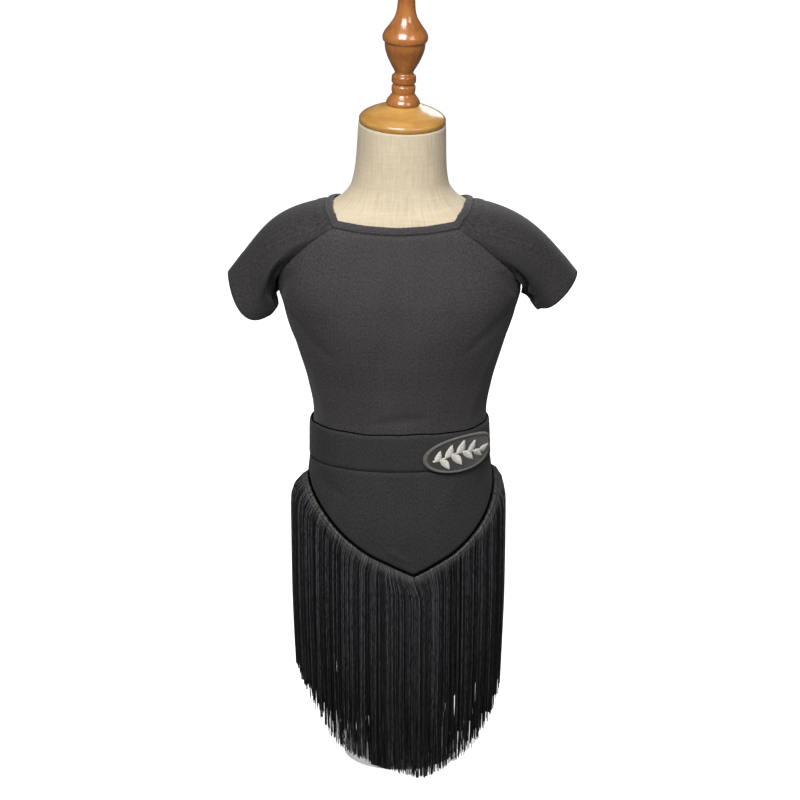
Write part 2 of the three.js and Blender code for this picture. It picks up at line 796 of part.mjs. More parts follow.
const POST_PROFILE = [
  { radius: POST_RADIUS, height: BASE_THICK + 0.3 },
  { radius: POST_RADIUS, height: FORM_BOTTOM_Z - 0.3 },
];

// Materials

const jersey = () =>
  new THREE.MeshStandardMaterial({ color: 0x2c2a2b, roughness: 0.85, metalness: 0 });
const cord = () =>
  new THREE.MeshStandardMaterial({ color: 0x0f0f12, roughness: 0.45, metalness: 0 });
const felt = () =>
  new THREE.MeshStandardMaterial({ color: 0x4a4544, roughness: 0.95, metalness: 0 });
const linen = () =>
  new THREE.MeshStandardMaterial({ color: 0xcfc3ad, roughness: 0.95, metalness: 0 });
const paleWood = () =>
  new THREE.MeshStandardMaterial({ color: 0xd39a3f, roughness: 0.45, metalness: 0 });
const brownWood = () =>
  new THREE.MeshStandardMaterial({ color: 0xa8642a, roughness: 0.4, metalness: 0 });
const whitePaint = () =>
  new THREE.MeshStandardMaterial({ color: 0xe9e9e7, roughness: 0.4, metalness: 0.1 });

// Assembly

const dress = new THREE.Group();

function place(name, geometry, material, parent = dress) {
  const mesh = new THREE.Mesh(geometry, material);
  mesh.name = name;
  parent.add(mesh);
}

place("bodice_front", topPanel("front"), jersey());
place("bodice_back", topPanel("back"), jersey());
for (const row of SLEEVES) place(row.name, sleeve(row), jersey());
place("neck_binding", neckBinding(), jersey());
place("waistband", waistband(), jersey());
place("yoke_front", yokePanel(0), jersey());
place("yoke_back", yokePanel(180), jersey());
place("fringe_front_right", fringeQuarter(-1, 0), cord());
place("fringe_front_left", fringeQuarter(1, 0), cord());
place("fringe_back_right", fringeQuarter(1, 180), cord());
place("fringe_back_left", fringeQuarter(-1, 180), cord());
place("gusset_tail", gussetTail(), jersey());
place("gusset_strap", gussetStrap(), jersey());
place("badge", badge(), felt());
place("form_body", formBody(), linen());
place("form_post", turnedGeometry(POST_PROFILE, 20), whitePaint());
place("form_base", turnedGeometry(BASE_PROFILE, 48), whitePaint());

// The cap and finial stand square to the neck's sloping top.
const neckTop = new THREE.Group();
neckTop.position.set(NECK_SHIFT, 0, NECK_TOP_Z);
neckTop.quaternion.setFromUnitVectors(
  new THREE.Vector3(0, 0, 1),
  new THREE.Vector3(NECK_LEAN, -NECK_TILT, 1).normalize(),
);
dress.add(neckTop);
place("neck_cap", turnedGeometry(CAP_PROFILE, 32), paleWood(), neckTop);
const finialSeat = new THREE.Group();
finialSeat.position.z = CAP_PROFILE[CAP_PROFILE.length - 1].height + 0.3;
neckTop.add(finialSeat);
place("finial", turnedGeometry(FINIAL_PROFILE, 22), brownWood(), finialSeat);

export default dress;
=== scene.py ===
# %% [markdown]
# # A fringed Latin dance dress on a dress form
#
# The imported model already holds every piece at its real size. This script dresses it: each cloth
# node is replaced by a finer thin shell on the same surface, and the fringe, stitches and
# embroidery are grown along guides. Lengths are metres, +Z is up and the front faces -Y.

# %% Load the frame
import math

import bpy
import numpy as np
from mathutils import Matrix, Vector


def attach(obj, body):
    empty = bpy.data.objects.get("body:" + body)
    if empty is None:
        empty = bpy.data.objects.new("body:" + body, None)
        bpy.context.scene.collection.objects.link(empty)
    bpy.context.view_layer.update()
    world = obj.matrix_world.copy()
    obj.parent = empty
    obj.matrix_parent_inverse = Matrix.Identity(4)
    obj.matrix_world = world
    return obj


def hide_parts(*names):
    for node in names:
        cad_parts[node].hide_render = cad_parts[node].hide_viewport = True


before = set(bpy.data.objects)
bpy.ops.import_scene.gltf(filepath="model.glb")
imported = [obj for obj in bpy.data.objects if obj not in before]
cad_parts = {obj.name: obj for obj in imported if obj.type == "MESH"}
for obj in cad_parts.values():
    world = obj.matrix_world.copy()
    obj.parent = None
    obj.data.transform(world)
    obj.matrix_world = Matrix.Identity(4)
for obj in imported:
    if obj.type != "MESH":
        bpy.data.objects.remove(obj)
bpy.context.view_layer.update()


def placed(name, data):
    """An object in the scene, made from its mesh, light or camera."""
    thing = bpy.data.objects.new(name, data)
    bpy.context.scene.collection.objects.link(thing)
    return thing


# %% [markdown]
# ## Camera
# A product photo like this one is taken from a few metres with a long lens, so that the bust
# isn't distorted. The camera looks down a little, which shows the waistband's rise to the sides.

# %% Make the camera
AIM = Vector((0, 0, 0.40479))
CAMERA_DISTANCE = 3.2
CAMERA_ELEVATION = math.radians(16)
VIEW_WIDTH = 0.864  # what the frame spans at the aim
VIEW_REACH = 500  # far enough to see the floor's edge
SENSOR_WIDTH = 36

camera_data = bpy.data.cameras.new("camera")
camera_data.sensor_width = SENSOR_WIDTH
camera_data.lens = SENSOR_WIDTH * CAMERA_DISTANCE / VIEW_WIDTH
camera = placed("camera", camera_data)
back = Vector((0, -math.cos(CAMERA_ELEVATION), math.sin(CAMERA_ELEVATION)))
camera.location = AIM + back * CAMERA_DISTANCE
camera.rotation_euler = (-back).to_track_quat("-Z", "Y").to_euler()
camera_data.clip_end = VIEW_REACH
bpy.context.scene.camera = camera
print("lens", round(camera_data.lens, 2), "mm")

# %% [markdown]
# ## The bust under the cloth
# A dress form is padded up in sections, so its shape is a short table: one row for each level,
# with a curve run smoothly through the rows. Cloth that fits the bust is then the same surface,
# lifted by a few millimetres. Everything the cloth does follows from these few functions.

# %% Sizes shared with the solids
# A lift is how far a cloth's inner face stands off the bust. A turn is in degrees from the
# middle of the front, and names that end in Z are heights above the floor.
CLOTH = 0.0016
TOP_LIFT = 0.0019
SKIRT_LIFT = 0.0042
BAND_THICK = 0.0024
WAIST_Z = 0.386
BAND_HEIGHT = 0.040
TOP_HEM_Z = 0.352
ARMPIT_Z = 0.527
BINDING_WIDTH = 0.0085
BINDING_THICK = 0.0022
FRINGE_CLEAR_Z = 0.002
FRINGE_SHIFT = -0.0018
NECK_CORNER_DEG = 50
TOP_TURN_DEG = -2.5
SKIRT_TURN_DEG = 6
POINT_PULL_DEG = 4  # how much further round the V's point is pulled
FORM_BOTTOM_Z = 0.120
NECK_TOP_Z = 0.708
NECK_TILT = 0.1  # the slope of the neck's top, from front to back
NECK_LEAN = 0.034  # and from side to side
NECK_SHIFT = 0.0024
PLATE_RADIUS = 0.062

BUST_COLUMNS = ("level", "width", "front", "back", "square", "tilt")
BUST_ROWS = [
    (0.120, 0.0920, 0.0640, 0.0700, 2.2, 0), (0.160, 0.1000, 0.0740, 0.0800, 2.2, 0),
    (0.215, 0.1050, 0.0800, 0.0880, 2.2, 0), (0.270, 0.1025, 0.0800, 0.0860, 2.2, 0),
    (0.322, 0.0946, 0.0755, 0.0770, 2.2, 0), (0.366, 0.0904, 0.0710, 0.0690, 2.2, 0),
    (0.396, 0.0898, 0.0700, 0.0660, 2.2, 0), (0.430, 0.0954, 0.0720, 0.0690, 2.2, 0),
    (0.467, 0.1062, 0.0770, 0.0740, 2.2, 0), (0.500, 0.1164, 0.0800, 0.0790, 2.3, 0),
    (0.524, 0.1240, 0.0794, 0.0810, 2.4, 0), (0.540, 0.1280, 0.0774, 0.0810, 2.4, 0),
    (0.560, 0.1310, 0.0736, 0.0780, 2.4, 0), (0.580, 0.1325, 0.0690, 0.0730, 2.4, 0),
    (0.596, 0.1305, 0.0650, 0.0680, 2.4, 0), (0.605, 0.1230, 0.0615, 0.0630, 2.3, 0),
    (0.612, 0.1080, 0.0590, 0.0600, 2.2, 0), (0.619, 0.0870, 0.0555, 0.0560, 2.1, 0),
    (0.625, 0.0710, 0.0520, 0.0530, 2.0, 0), (0.633, 0.0595, 0.0500, 0.0510, 2.0, 0),
    (0.645, 0.0516, 0.0480, 0.0500, 2.0, 0.1), (0.668, 0.0480, 0.0465, 0.0480, 2.0, 0.5),
    (0.708, 0.0462, 0.0450, 0.0465, 2.0, 1),
]
CURTAIN_COLUMNS = ("level", "width", "front", "back")
CURTAIN_ROWS = [
    (0.010, 0.1090, 0.0900, 0.0950), (0.120, 0.1135, 0.0915, 0.0980),
    (0.200, 0.1160, 0.0920, 0.0990), (0.290, 0.1165, 0.0915, 0.0970),
    (0.325, 0.1135, 0.0900, 0.0930),
]
NECKLINE_ROWS = [  # the turn, and the level in front and behind
    (0, 0.6075, 0.6130), (28, 0.6090, 0.6140), (50, 0.6120, 0.6155), (56, 0.6170, 0.6190),
    (64, 0.6205, 0.6215), (76, 0.6242, 0.6245), (90, 0.6260, 0.6260),
]
RAGLAN_COLUMNS = ("level", "turn")
RAGLAN_ROWS = [
    (0.5270, 90), (0.5375, 83), (0.5495, 76.5), (0.5620, 70), (0.5760, 63.5), (0.5890, 58),
    (0.6040, 50),
]
V_EDGE_COLUMNS = ("turn", "level")
V_EDGE_ROWS = [
    (0, 0.2350), (10, 0.2420), (20, 0.2495), (30, 0.2575), (40, 0.2685), (50, 0.2815),
    (60, 0.2955), (70, 0.3085), (80, 0.3200), (90, 0.3310),
]
FRINGE_COLUMNS = ("turn", "length")
FRINGE_ROWS = [
    (-90, 0.214), (-70, 0.224), (-50, 0.238), (-25, 0.231), (0, 0.230), (25, 0.235), (48, 0.243),
    (70, 0.236), (90, 0.228),
]
print("bust sections:", len(BUST_ROWS))


# %% Curves through the tables
def smooth_column(x, y):
    """A smooth curve through one column of a table that never overshoots its rows."""
    x, y = np.array(x, float), np.array(y, float)
    rise = np.diff(y) / np.diff(x)
    slope = np.concatenate([rise[:1], np.zeros(len(rise) - 1), rise[-1:]])
    product = rise[:-1] * rise[1:]
    same_way = product > 0
    slope[1:-1][same_way] = 2 * product[same_way] / (rise[:-1] + rise[1:])[same_way]

    def curve(at):
        at = np.clip(at, x[0], x[-1])
        i = np.clip(np.searchsorted(x, at, side="right") - 1, 0, len(x) - 2)
        step = x[i + 1] - x[i]
        t = (at - x[i]) / step
        h = (1 - t) ** 2
        return (
            y[i] * (1 + 2 * t) * h
            + slope[i] * step * t * h
            + y[i + 1] * t * t * (3 - 2 * t)
            + slope[i + 1] * step * t * t * (t - 1)
        )

    return curve


def columns_of(names, rows, key):
    """Each column of a table as a smooth curve over its key column."""
    values = {name: [row[i] for row in rows] for i, name in enumerate(names)}
    return {name: smooth_column(values[key], values[name]) for name in names if name != key}


def smoothstep(low, high, value):
    share = np.clip((value - low) / (high - low), 0, 1)
    return share * share * (3 - 2 * share)


def mix(a, b, share):
    return a + (b - a) * share


bust = columns_of(BUST_COLUMNS, BUST_ROWS, "level")
curtain = columns_of(CURTAIN_COLUMNS, CURTAIN_ROWS, "level")
raglan_turn = columns_of(RAGLAN_COLUMNS, RAGLAN_ROWS, "level")["turn"]
v_edge = columns_of(V_EDGE_COLUMNS, V_EDGE_ROWS, "turn")["level"]
front_length = columns_of(FRINGE_COLUMNS, FRINGE_ROWS, "turn")["length"]
print("half width at the waist:", round(float(bust["width"](WAIST_Z)), 4))


# %% Points on the bust
LEVEL_STEP = 0.0006  # how far apart the points are that a surface's direction is taken from
ANGLE_STEP = 0.02
WALK_STEP = 0.00025


def figure_point(level, angle):
    """A point on the bare bust. The angle runs from the middle of the front towards +X."""
    level, angle = np.broadcast_arrays(np.asarray(level, float), np.asarray(angle, float))
    sine, cosine = np.sin(angle), np.cos(angle)
    depth = np.where(cosine > 0, bust["front"](level), bust["back"](level))
    power = bust["square"](level)
    across = np.abs(sine / bust["width"](level)) ** power
    radius = (across + np.abs(cosine / depth) ** power) ** (-1 / power)
    x, y = radius * sine, -radius * cosine
    tilt = bust["tilt"](level)
    rise = NECK_TILT * y - NECK_LEAN * x
    return grid_of(x + NECK_SHIFT * tilt, y, level + rise * tilt)


def grid_of(*parts):
    """Points or UV places from their parts, each of them a grid, a row, a column or a number."""
    return np.stack(np.broadcast_arrays(*parts), axis=-1)


def unit(vectors):
    return vectors / np.maximum(np.linalg.norm(vectors, axis=-1, keepdims=True), 1e-12)


def lifted_point(level, angle, lift):
    """The same point moved out from the bust, square to its surface."""
    level, angle = np.asarray(level, float), np.asarray(angle, float)
    along = figure_point(level + LEVEL_STEP, angle) - figure_point(level - LEVEL_STEP, angle)
    around = figure_point(level, angle + ANGLE_STEP) - figure_point(level, angle - ANGLE_STEP)
    normal = unit(np.cross(around, along))
    return figure_point(level, angle) + normal * np.asarray(lift, float)[..., None]


def level_below(level, angle, distance):
    """The level that lies a distance down the surface from another."""
    at = np.array(level, float)
    travelled = np.zeros_like(at)
    point = figure_point(at, angle)
    while (travelled < distance).any():
        short = travelled < distance
        below = figure_point(at - WALK_STEP, angle)
        travelled += np.where(short, np.linalg.norm(below - point, axis=-1), 0)
        point = np.where(short[..., None], below, point)
        at = np.where(short, at - WALK_STEP, at)
    return at


def fold_turn(turn):
    """Whether a turn is in front, and its degrees from the middle of the front or back."""
    away = np.abs((np.asarray(turn, float) + 180) % 360 - 180)
    return away <= 90, np.where(away <= 90, away, 180 - away)


def top_angle(turn):
    return np.radians(turn + TOP_TURN_DEG)


def skirt_angle(turn):
    pull = POINT_PULL_DEG * np.maximum(0, np.cos(np.radians(turn))) ** 6
    return np.radians(turn + SKIRT_TURN_DEG + pull)


def neckline_level(turn):
    in_front, folded = fold_turn(turn)
    turns, front, behind = np.array(NECKLINE_ROWS, float).T
    return np.where(in_front, np.interp(folded, turns, front), np.interp(folded, turns, behind))


def binding_level(turn):
    """The lower edge of the neck binding, where the panels and sleeves begin."""
    return level_below(neckline_level(turn), top_angle(turn), BINDING_WIDTH)


def v_level(turn):
    return v_edge(fold_turn(turn)[1])


def fringe_length(turn):
    """How long the fringe hangs. The back is the same, seen through the bust."""
    return front_length(np.where(turn > 90, 180 - turn, turn))


def curtain_point(level, angle):
    """A point on the hanging fringe, clear of the hips."""
    level, angle = np.broadcast_arrays(np.asarray(level, float), np.asarray(angle, float))
    sine, cosine = np.sin(angle), np.cos(angle)
    depth = np.where(cosine > 0, curtain["front"](level), curtain["back"](level))
    radius = 1 / np.hypot(sine / curtain["width"](level), cosine / depth)
    return grid_of(FRINGE_SHIFT + radius * sine, -radius * cosine, level)


print("shoulder top:", figure_point(0.58, math.pi / 2).round(4))


# %% [markdown]
# ## Cloth walls
# Cloth has two faces and a turned edge, so a flat sheet with no thickness looks like paper. Each
# piece here is two grids of points, an outer and an inner face, joined by a rounded rim. Folds
# and seams are then only changes to the lift of those points. A crease is a soft trough or ridge
# between two places on the cloth, with its own width and depth.

# %% Build a closed wall from two grids
RIM_BULGE = 0.8  # how far a turned edge stands out, against half the cloth's thickness


def cloth_wall(name, outer, inner, uv, closed, material):
    """A wall of cloth. The grids are rows x columns x 3; a closed one runs round on itself and
    its UV grid has one column more."""
    rows, columns = outer.shape[:2]
    count = rows * columns
    right = columns if closed else columns - 1
    top = [(0, i) for i in range(right + 1)]
    bottom = [(rows - 1, i) for i in range(right, -1, -1)]
    rim_loops = [top, bottom]
    if not closed:
        side = [(j, right) for j in range(1, rows - 1)]
        rim_loops = [top + side + bottom + [(j, 0) for j in range(rows - 2, -1, -1)]]
    middle = (outer + inner) / 2
    rim_points, faces, corners = [], [], []

    def add_face(vertices, places):
        faces.append(vertices)
        corners.extend(uv[place] for place in places)

    for j in range(rows - 1):
        for i in range(right):
            places = [(j, i), (j, i + 1), (j + 1, i + 1), (j + 1, i)]
            vertices = [p[0] * columns + p[1] % columns for p in places]
            add_face(vertices, places)
            add_face([v + count for v in reversed(vertices)], places[::-1])
    for loop in rim_loops:
        start = 2 * count + len(rim_points)
        nose = {}
        for place in loop:
            key = (place[0], place[1] % columns)
            if key in nose:
                continue
            j, i = key
            inward = (min(max(j, 1), rows - 2), i if closed else min(max(i, 1), columns - 2))
            out = unit(middle[key] - middle[inward])
            half = np.linalg.norm(outer[key] - inner[key]) / 2
            nose[key] = start + len(nose)
            rim_points.append(middle[key] + out * half * RIM_BULGE)
        for here, there in zip(loop, loop[1:]):
            a, b = (here[0], here[1] % columns), (there[0], there[1] % columns)
            outer_a, outer_b = a[0] * columns + a[1], b[0] * columns + b[1]
            places = [there, here, here, there]
            add_face([outer_b, outer_a, nose[a], nose[b]], places)
            add_face([nose[b], nose[a], outer_a + count, outer_b + count], places)
    points = np.concatenate([outer.reshape(-1, 3), inner.reshape(-1, 3), np.array(rim_points)])
    return mesh_piece(name, points, faces, np.array(corners), material)


def mesh_piece(name, points, faces, corner_uv, material):
    """A smooth mesh object. Where its volume is negative, all its faces are turned to point out."""
    triangles = np.array([(f[0], f[k], f[k + 1]) for f in faces for k in range(1, len(f) - 1)])
    a, b, c = points[triangles[:, 0]], points[triangles[:, 1]], points[triangles[:, 2]]
    corner_uv = np.asarray(corner_uv, np.float32)
    if np.einsum("ij,ij->i", a, np.cross(b, c)).sum() < 0:
        starts = np.cumsum([0] + [len(face) for face in faces])
        order = np.concatenate([np.arange(n - 1, m - 1, -1) for m, n in zip(starts, starts[1:])])
        faces = [face[::-1] for face in faces]
        corner_uv = corner_uv[order]
    mesh = bpy.data.meshes.new(name)
    mesh.from_pydata(points.tolist(), [], [list(map(int, face)) for face in faces])
    layer = mesh.uv_layers.new(name="UVMap")
    layer.data.foreach_set("uv", corner_uv.ravel())
    mesh.shade_smooth()
    mesh.materials.append(material)
    print(name, len(triangles), "triangles")
    return placed(name, mesh)


def normals_of(grid):
    """Unit normals of a tube's grid, outward for rows that run down and columns to +X."""
    around = np.roll(grid, -1, axis=1) - np.roll(grid, 1, axis=1)
    return unit(np.cross(around, -np.gradient(grid, axis=0)))


# %% Creases and turned edges
def creases(x, y, rows):
    """Soft ridges (+) and troughs (-) at the places x, y. Each row is where it starts, where it
    ends, its width and its depth, in metres of cloth. It is narrow and shallow at both ends."""
    total = np.zeros(np.broadcast(x, y).shape)
    for (x0, y0), (x1, y1), width, depth in rows:
        span = math.hypot(x1 - x0, y1 - y0)
        along = ((x - x0) * (x1 - x0) + (y - y0) * (y1 - y0)) / span**2
        nearest = np.clip(along, 0, 1)
        away = np.hypot(x - mix(x0, x1, nearest), y - mix(y0, y1, nearest))
        taper = 0.35 + 0.65 * np.sin(np.pi * np.clip(nearest, 0.02, 0.98)) ** 0.7
        total += depth * taper * np.exp(-((away / (width * taper)) ** 2))
    return total


def turned_edge(distance, depth, width):
    """How far a seamed edge dips, at a distance from the seam."""
    return -depth * np.exp(-((distance / width) ** 2))


print("a 1 mm dip, 1 mm from its seam:", round(float(turned_edge(0.001, 0.001, 0.0015)), 5))

# %% [markdown]
# ## Materials
# Black cloth is never black all over: the jersey shows a fine upright rib, a slight bloom where
# it turns away, and stray lint. A wire stands for a node's output, and it can be added and
# multiplied as a number can, so a recipe reads like a sum. Patterns read the cloth's own UV map,
# which is in metres.

# %% Nodes, and wires between them
class Wire:
    """A node's output. Each sum or product of wires is a Math node."""

    def __init__(self, tree, socket):
        self.tree = tree
        self.socket = socket

    def math(self, operation, *others):
        inputs = dict(enumerate((self, *others)))
        return wire(self.tree, "ShaderNodeMath", inputs, operation=operation)

    def __add__(self, other):
        return self.math("ADD", other)

    def __sub__(self, other):
        return self.math("SUBTRACT", other)

    def __mul__(self, other):
        return self.math("MULTIPLY", other)

    def __truediv__(self, other):
        return self.math("DIVIDE", other)

    def __pow__(self, other):
        return self.math("POWER", other)

    def into(self, node, key):
        self.tree.links.new(self.socket, node.inputs[key])


def add_node(tree, kind, inputs=None, **settings):
    node = tree.nodes.new(kind)
    for key, value in settings.items():
        setattr(node, key, value)
    for key, value in (inputs or {}).items():
        if isinstance(value, Wire):
            value.into(node, key)
        else:
            node.inputs[key].default_value = value
    return node


def wire(tree, kind, inputs=None, output=0, **settings):
    return Wire(tree, add_node(tree, kind, inputs, **settings).outputs[output])


def blend(share, low, high):
    return wire(share.tree, "ShaderNodeMix", {0: share, 6: low, 7: high}, 2, data_type="RGBA")


def ramp(value, low, high, bottom=0.0, top=1.0):
    limits = {0: value, 1: low, 2: high, 3: bottom, 4: top}
    return wire(value.tree, "ShaderNodeMapRange", limits, clamp=True)


def scaled(vector, *scale):
    inputs = {0: vector, 1: scale}
    return wire(vector.tree, "ShaderNodeVectorMath", inputs, operation="MULTIPLY")


def noise(vector, scale, detail=3.0, roughness=0.55):
    inputs = {"Vector": vector, "Scale": scale, "Detail": detail, "Roughness": roughness}
    return wire(vector.tree, "ShaderNodeTexNoise", inputs, "Fac")


def ribs(vector, direction, pitch, wander):
    """Soft stripes at a pitch in metres, over a vector in metres."""
    inputs = {"Vector": vector, "Scale": math.tau / 20 / pitch, "Distortion": wander, "Detail": 1.0}
    return wire(vector.tree, "ShaderNodeTexWave", inputs, "Fac", bands_direction=direction)


def new_finish(name, roughness, **uniform):
    """A material and its shader, with the values that are the same all over."""
    material = bpy.data.materials.new(name)
    material.use_nodes = True
    shader = material.node_tree.nodes["Principled BSDF"]
    for key, value in dict(uniform, Roughness=roughness).items():
        shader.inputs[key.replace("_", " ")].default_value = value
    return material, shader


def place_of(shader, kind):
    """A wire that carries each point's place: in the object, or in the cloth's UV map."""
    return wire(shader.id_data, "ShaderNodeTexCoord", None, kind)


def bump(shader, height, distance, strength):
    inputs = {"Height": height, "Distance": distance, "Strength": strength}
    wire(height.tree, "ShaderNodeBump", inputs, "Normal").into(shader, "Normal")


def shaded(colour, share):
    return tuple(c * share for c in colour[:3]) + (1,)


# %% Jersey
RIB_PITCH = 0.0011
COURSE_PITCH = 0.0008
LINT_SPACING = 0.010
LINT_GREY = (0.20, 0.19, 0.19, 1)


def jersey(name, colour, bloom):
    """Fine upright rib, soft streaks along it and a few specks of lint."""
    material, shader = new_finish(
        name, 0.82, Sheen_Weight=bloom, Sheen_Roughness=0.45, Specular_IOR_Level=0.32,
        Sheen_Tint=(0.80, 0.76, 0.78, 1),
    )
    uv = place_of(shader, "UV")
    rib = ribs(uv, "X", RIB_PITCH, 0.3)
    course = ribs(uv, "Y", COURSE_PITCH, 0.6)
    streak = noise(scaled(uv, 520, 14, 1), 1.0, 3.0, 0.6)
    cloud = noise(scaled(uv, 22, 16, 1), 1.0, 4.0)
    grain = noise(scaled(uv, 620, 420, 1), 1.0, 2.0, 0.7)
    share = rib * 0.42 + course * 0.14 + ramp(streak, 0.3, 0.7, 0, 0.16)
    share = share + ramp(cloud, 0.3, 0.7, 0, 0.18) + ramp(grain, 0.36, 0.64, -0.30, 0.45)
    base = blend(share, shaded(colour, 0.62), shaded(colour, 1.75))
    cells = {"Vector": uv, "Scale": 1 / LINT_SPACING, "Randomness": 1.0}
    speck = add_node(uv.tree, "ShaderNodeTexVoronoi", cells)
    colours = Wire(uv.tree, speck.outputs["Color"])
    chance = wire(uv.tree, "ShaderNodeSeparateColor", {0: colours})
    near = ramp(Wire(uv.tree, speck.outputs["Distance"]), 0.028, 0.045, 1, 0)
    blend(near * ramp(chance, 0.80, 0.82), base, LINT_GREY).into(shader, "Base Color")
    bump(shader, rib + course * 0.35 + streak * 0.6, 0.00012, 0.7)
    return material


top_jersey = jersey("top_jersey", (0.044, 0.0405, 0.043), 0.16)
# The same cloth as the top's, painted a shade darker: painted shade for the sleeves, which stand at
# the sides where less light falls.
shaded_sleeve_jersey = jersey("shaded_sleeve_jersey", (0.029, 0.0268, 0.0282), 0.12)
skirt_jersey = jersey("skirt_jersey", (0.031, 0.030, 0.031), 0.10)
print("jersey rib", RIB_PITCH * 1000, "mm")

# %% Fringe cord
TWIST_PITCH = 0.0026
LOOP_HIGHLIGHT_LENGTH = 0.012


def attribute(tree, name):
    return wire(tree, "ShaderNodeAttribute", None, "Fac", attribute_name=name)


def fringe_finish():
    """Twisted cord with a satin shine, a painted highlight at its loops and painted black shadow
    where it is tucked in under the yoke.
    """
    material, shader = new_finish("fringe_cord", 0.38, Sheen_Weight=0.04, Sheen_Roughness=0.35)
    uv = place_of(shader, "UV")
    place = place_of(shader, "Object")
    along = wire(uv.tree, "ShaderNodeSeparateXYZ", {0: uv}, 1)
    own = attribute(uv.tree, "strand")
    # Painted shadow: the first few millimetres of each cord are painted black with no shine, and so
    # are the braid and the band's shadow line, whose UV height is 0. This stands for the shade in
    # the groove under an edge.
    free = ramp(along, 0.0017, 0.0028)
    patchy = noise(scaled(place, 1100, 1100, 200), 1.0, 2.0, 0.7)
    # Partly each cord's own random tone and partly painted highlight streaks, broken up by the
    # patchy noise. The last ramp is painted shade that darkens the cords towards their lower ends.
    tone_and_highlight = own**2.6 * ramp(patchy, 0.37, 0.63, 0.0, 2.1) * ramp(along, 0.02, 0.17, 1.5, 0.45)
    shade = blend(tone_and_highlight, (0.0030, 0.0030, 0.0038, 1), (0.130, 0.130, 0.144, 1))
    # Painted highlight: the loops at the top of each cord catch the light, so they are painted a
    # lighter brown-grey.
    root = ramp(along, 0.0045, LOOP_HIGHLIGHT_LENGTH, 0.9, 0) * free * ramp(own, 0.0, 1.0, 0.35, 1.0)
    shade = blend(root, shade, (0.090, 0.080, 0.072, 1))
    blend(free, (0.0012, 0.0012, 0.0014, 1), shade).into(shader, "Base Color")
    (free * 0.6).into(shader, "Specular IOR Level")
    turns = along * (math.tau / TWIST_PITCH) + attribute(uv.tree, "around") * math.tau
    bump(shader, turns.math("SINE"), 0.00010, 0.8)
    return material


fringe_cord = fringe_finish()
print("cord twist", TWIST_PITCH * 1000, "mm")

# %% Sewing thread, felt and embroidery thread
def thread_finish(name, colour, roughness, sheen):
    """Spun thread: fine twist along its length and a slight change of shade."""
    material, shader = new_finish(name, roughness, Sheen_Weight=sheen, Sheen_Roughness=0.4)
    place = place_of(shader, "Object")
    change = noise(place, 900.0, 2.0)
    blend(change, shaded(colour, 0.7), colour).into(shader, "Base Color")
    bump(shader, noise(place, 2600.0, 1.0), 0.0001, 0.5)
    return material


def felt_finish():
    """Pressed fibres: short random hairs over a mottled grey-black."""
    material, shader = new_finish("badge_felt", 0.95, Sheen_Weight=0.5, Sheen_Roughness=0.6)
    place = place_of(shader, "Object")
    fibres = noise(scaled(place, 900, 900, 2600), 1.0, 6.0, 0.7)
    share = fibres * 0.6 + noise(place, 180.0, 4.0) * 0.4
    base = blend(ramp(share, 0.3, 0.7), (0.010, 0.009, 0.0085, 1), (0.034, 0.030, 0.027, 1))
    base.into(shader, "Base Color")
    bump(shader, fibres, 0.0003, 0.8)
    return material


black_thread = thread_finish(
    "black_thread", (0.125, 0.120, 0.122, 1), roughness=0.5, sheen=0.3
)
silver_thread = thread_finish("silver_thread", (0.90, 0.86, 0.78, 1), roughness=0.34, sheen=0.2)
grey_thread = thread_finish("grey_thread", (0.19, 0.172, 0.158, 1), roughness=0.5, sheen=0.3)
badge_felt = felt_finish()
print("threads:", [m.name for m in (black_thread, silver_thread, grey_thread)])

# %% [markdown]
# ## Linen, woods and paint
# The bust is covered in natural linen, whose yarns swell here and there into slubs. The cap is
# pale wood with long dark figure, and the finial is stained darker and varnished to a gloss. The
# wood grain is noise stretched along the log, read from where each point lies in the object.

# %% Linen, woods and white paint
YARN_PITCH = 0.0012


def linen_finish():
    material, shader = new_finish("linen", 0.93, Sheen_Weight=0.15, Sheen_Roughness=0.6)
    uv = place_of(shader, "UV")
    slub = noise(scaled(uv, 420, 34, 1), 1.0, 4.0, 0.65)
    cross_slub = noise(scaled(uv, 40, 520, 1), 1.0, 3.0, 0.6)
    patch = noise(scaled(uv, 16, 12, 1), 1.0, 3.0)
    yarns = (ribs(uv, "X", YARN_PITCH, 0.9) + ribs(uv, "Y", YARN_PITCH, 0.9)) * 0.16
    share = yarns + ramp(slub, 0.32, 0.68, 0, 0.42) + ramp(cross_slub, 0.35, 0.7, 0, 0.2)
    share = share + ramp(patch, 0.3, 0.7, 0, 0.16)
    base = blend(share, (0.50, 0.40, 0.26, 1), (0.81, 0.69, 0.51, 1))
    base.into(shader, "Base Color")
    bump(shader, yarns + slub * 0.5, 0.0005, 0.8)
    return material


def wood_finish(name, pale, dark, roughness, coat, stretch, rings):
    """Varnished wood: stretched grain, faint rings and pores."""
    material, shader = new_finish(name, roughness, Coat_Weight=coat, Coat_Roughness=0.12)
    place = place_of(shader, "Object")
    grain = noise(scaled(place, *stretch), 1.0, 5.0, 0.6)
    pores = noise(scaled(place, *(s * 7 for s in stretch)), 1.0, 3.0, 0.7)
    wave = {"Vector": place, "Scale": rings, "Distortion": 5.0, "Detail": 3.0, "Detail Scale": 2.0}
    settings = {"wave_type": "RINGS", "rings_direction": "X"}
    figure = wire(place.tree, "ShaderNodeTexWave", wave, "Fac", **settings)
    share = figure * 0.32 + ramp(grain, 0.3, 0.72, 0, 0.5) + ramp(pores, 0.55, 0.8, 0, 0.25)
    blend(share, pale, dark).into(shader, "Base Color")
    bump(shader, pores, 0.0002, 0.3)
    return material


def paint_finish():
    material, shader = new_finish("white_paint", 0.35, Coat_Weight=0.3, Coat_Roughness=0.2)
    place = place_of(shader, "Object")
    skin = noise(place, 260.0, 2.0)
    blend(skin, (0.78, 0.78, 0.76, 1), (0.85, 0.85, 0.84, 1)).into(shader, "Base Color")
    bump(shader, skin, 0.0002, 0.25)
    return material


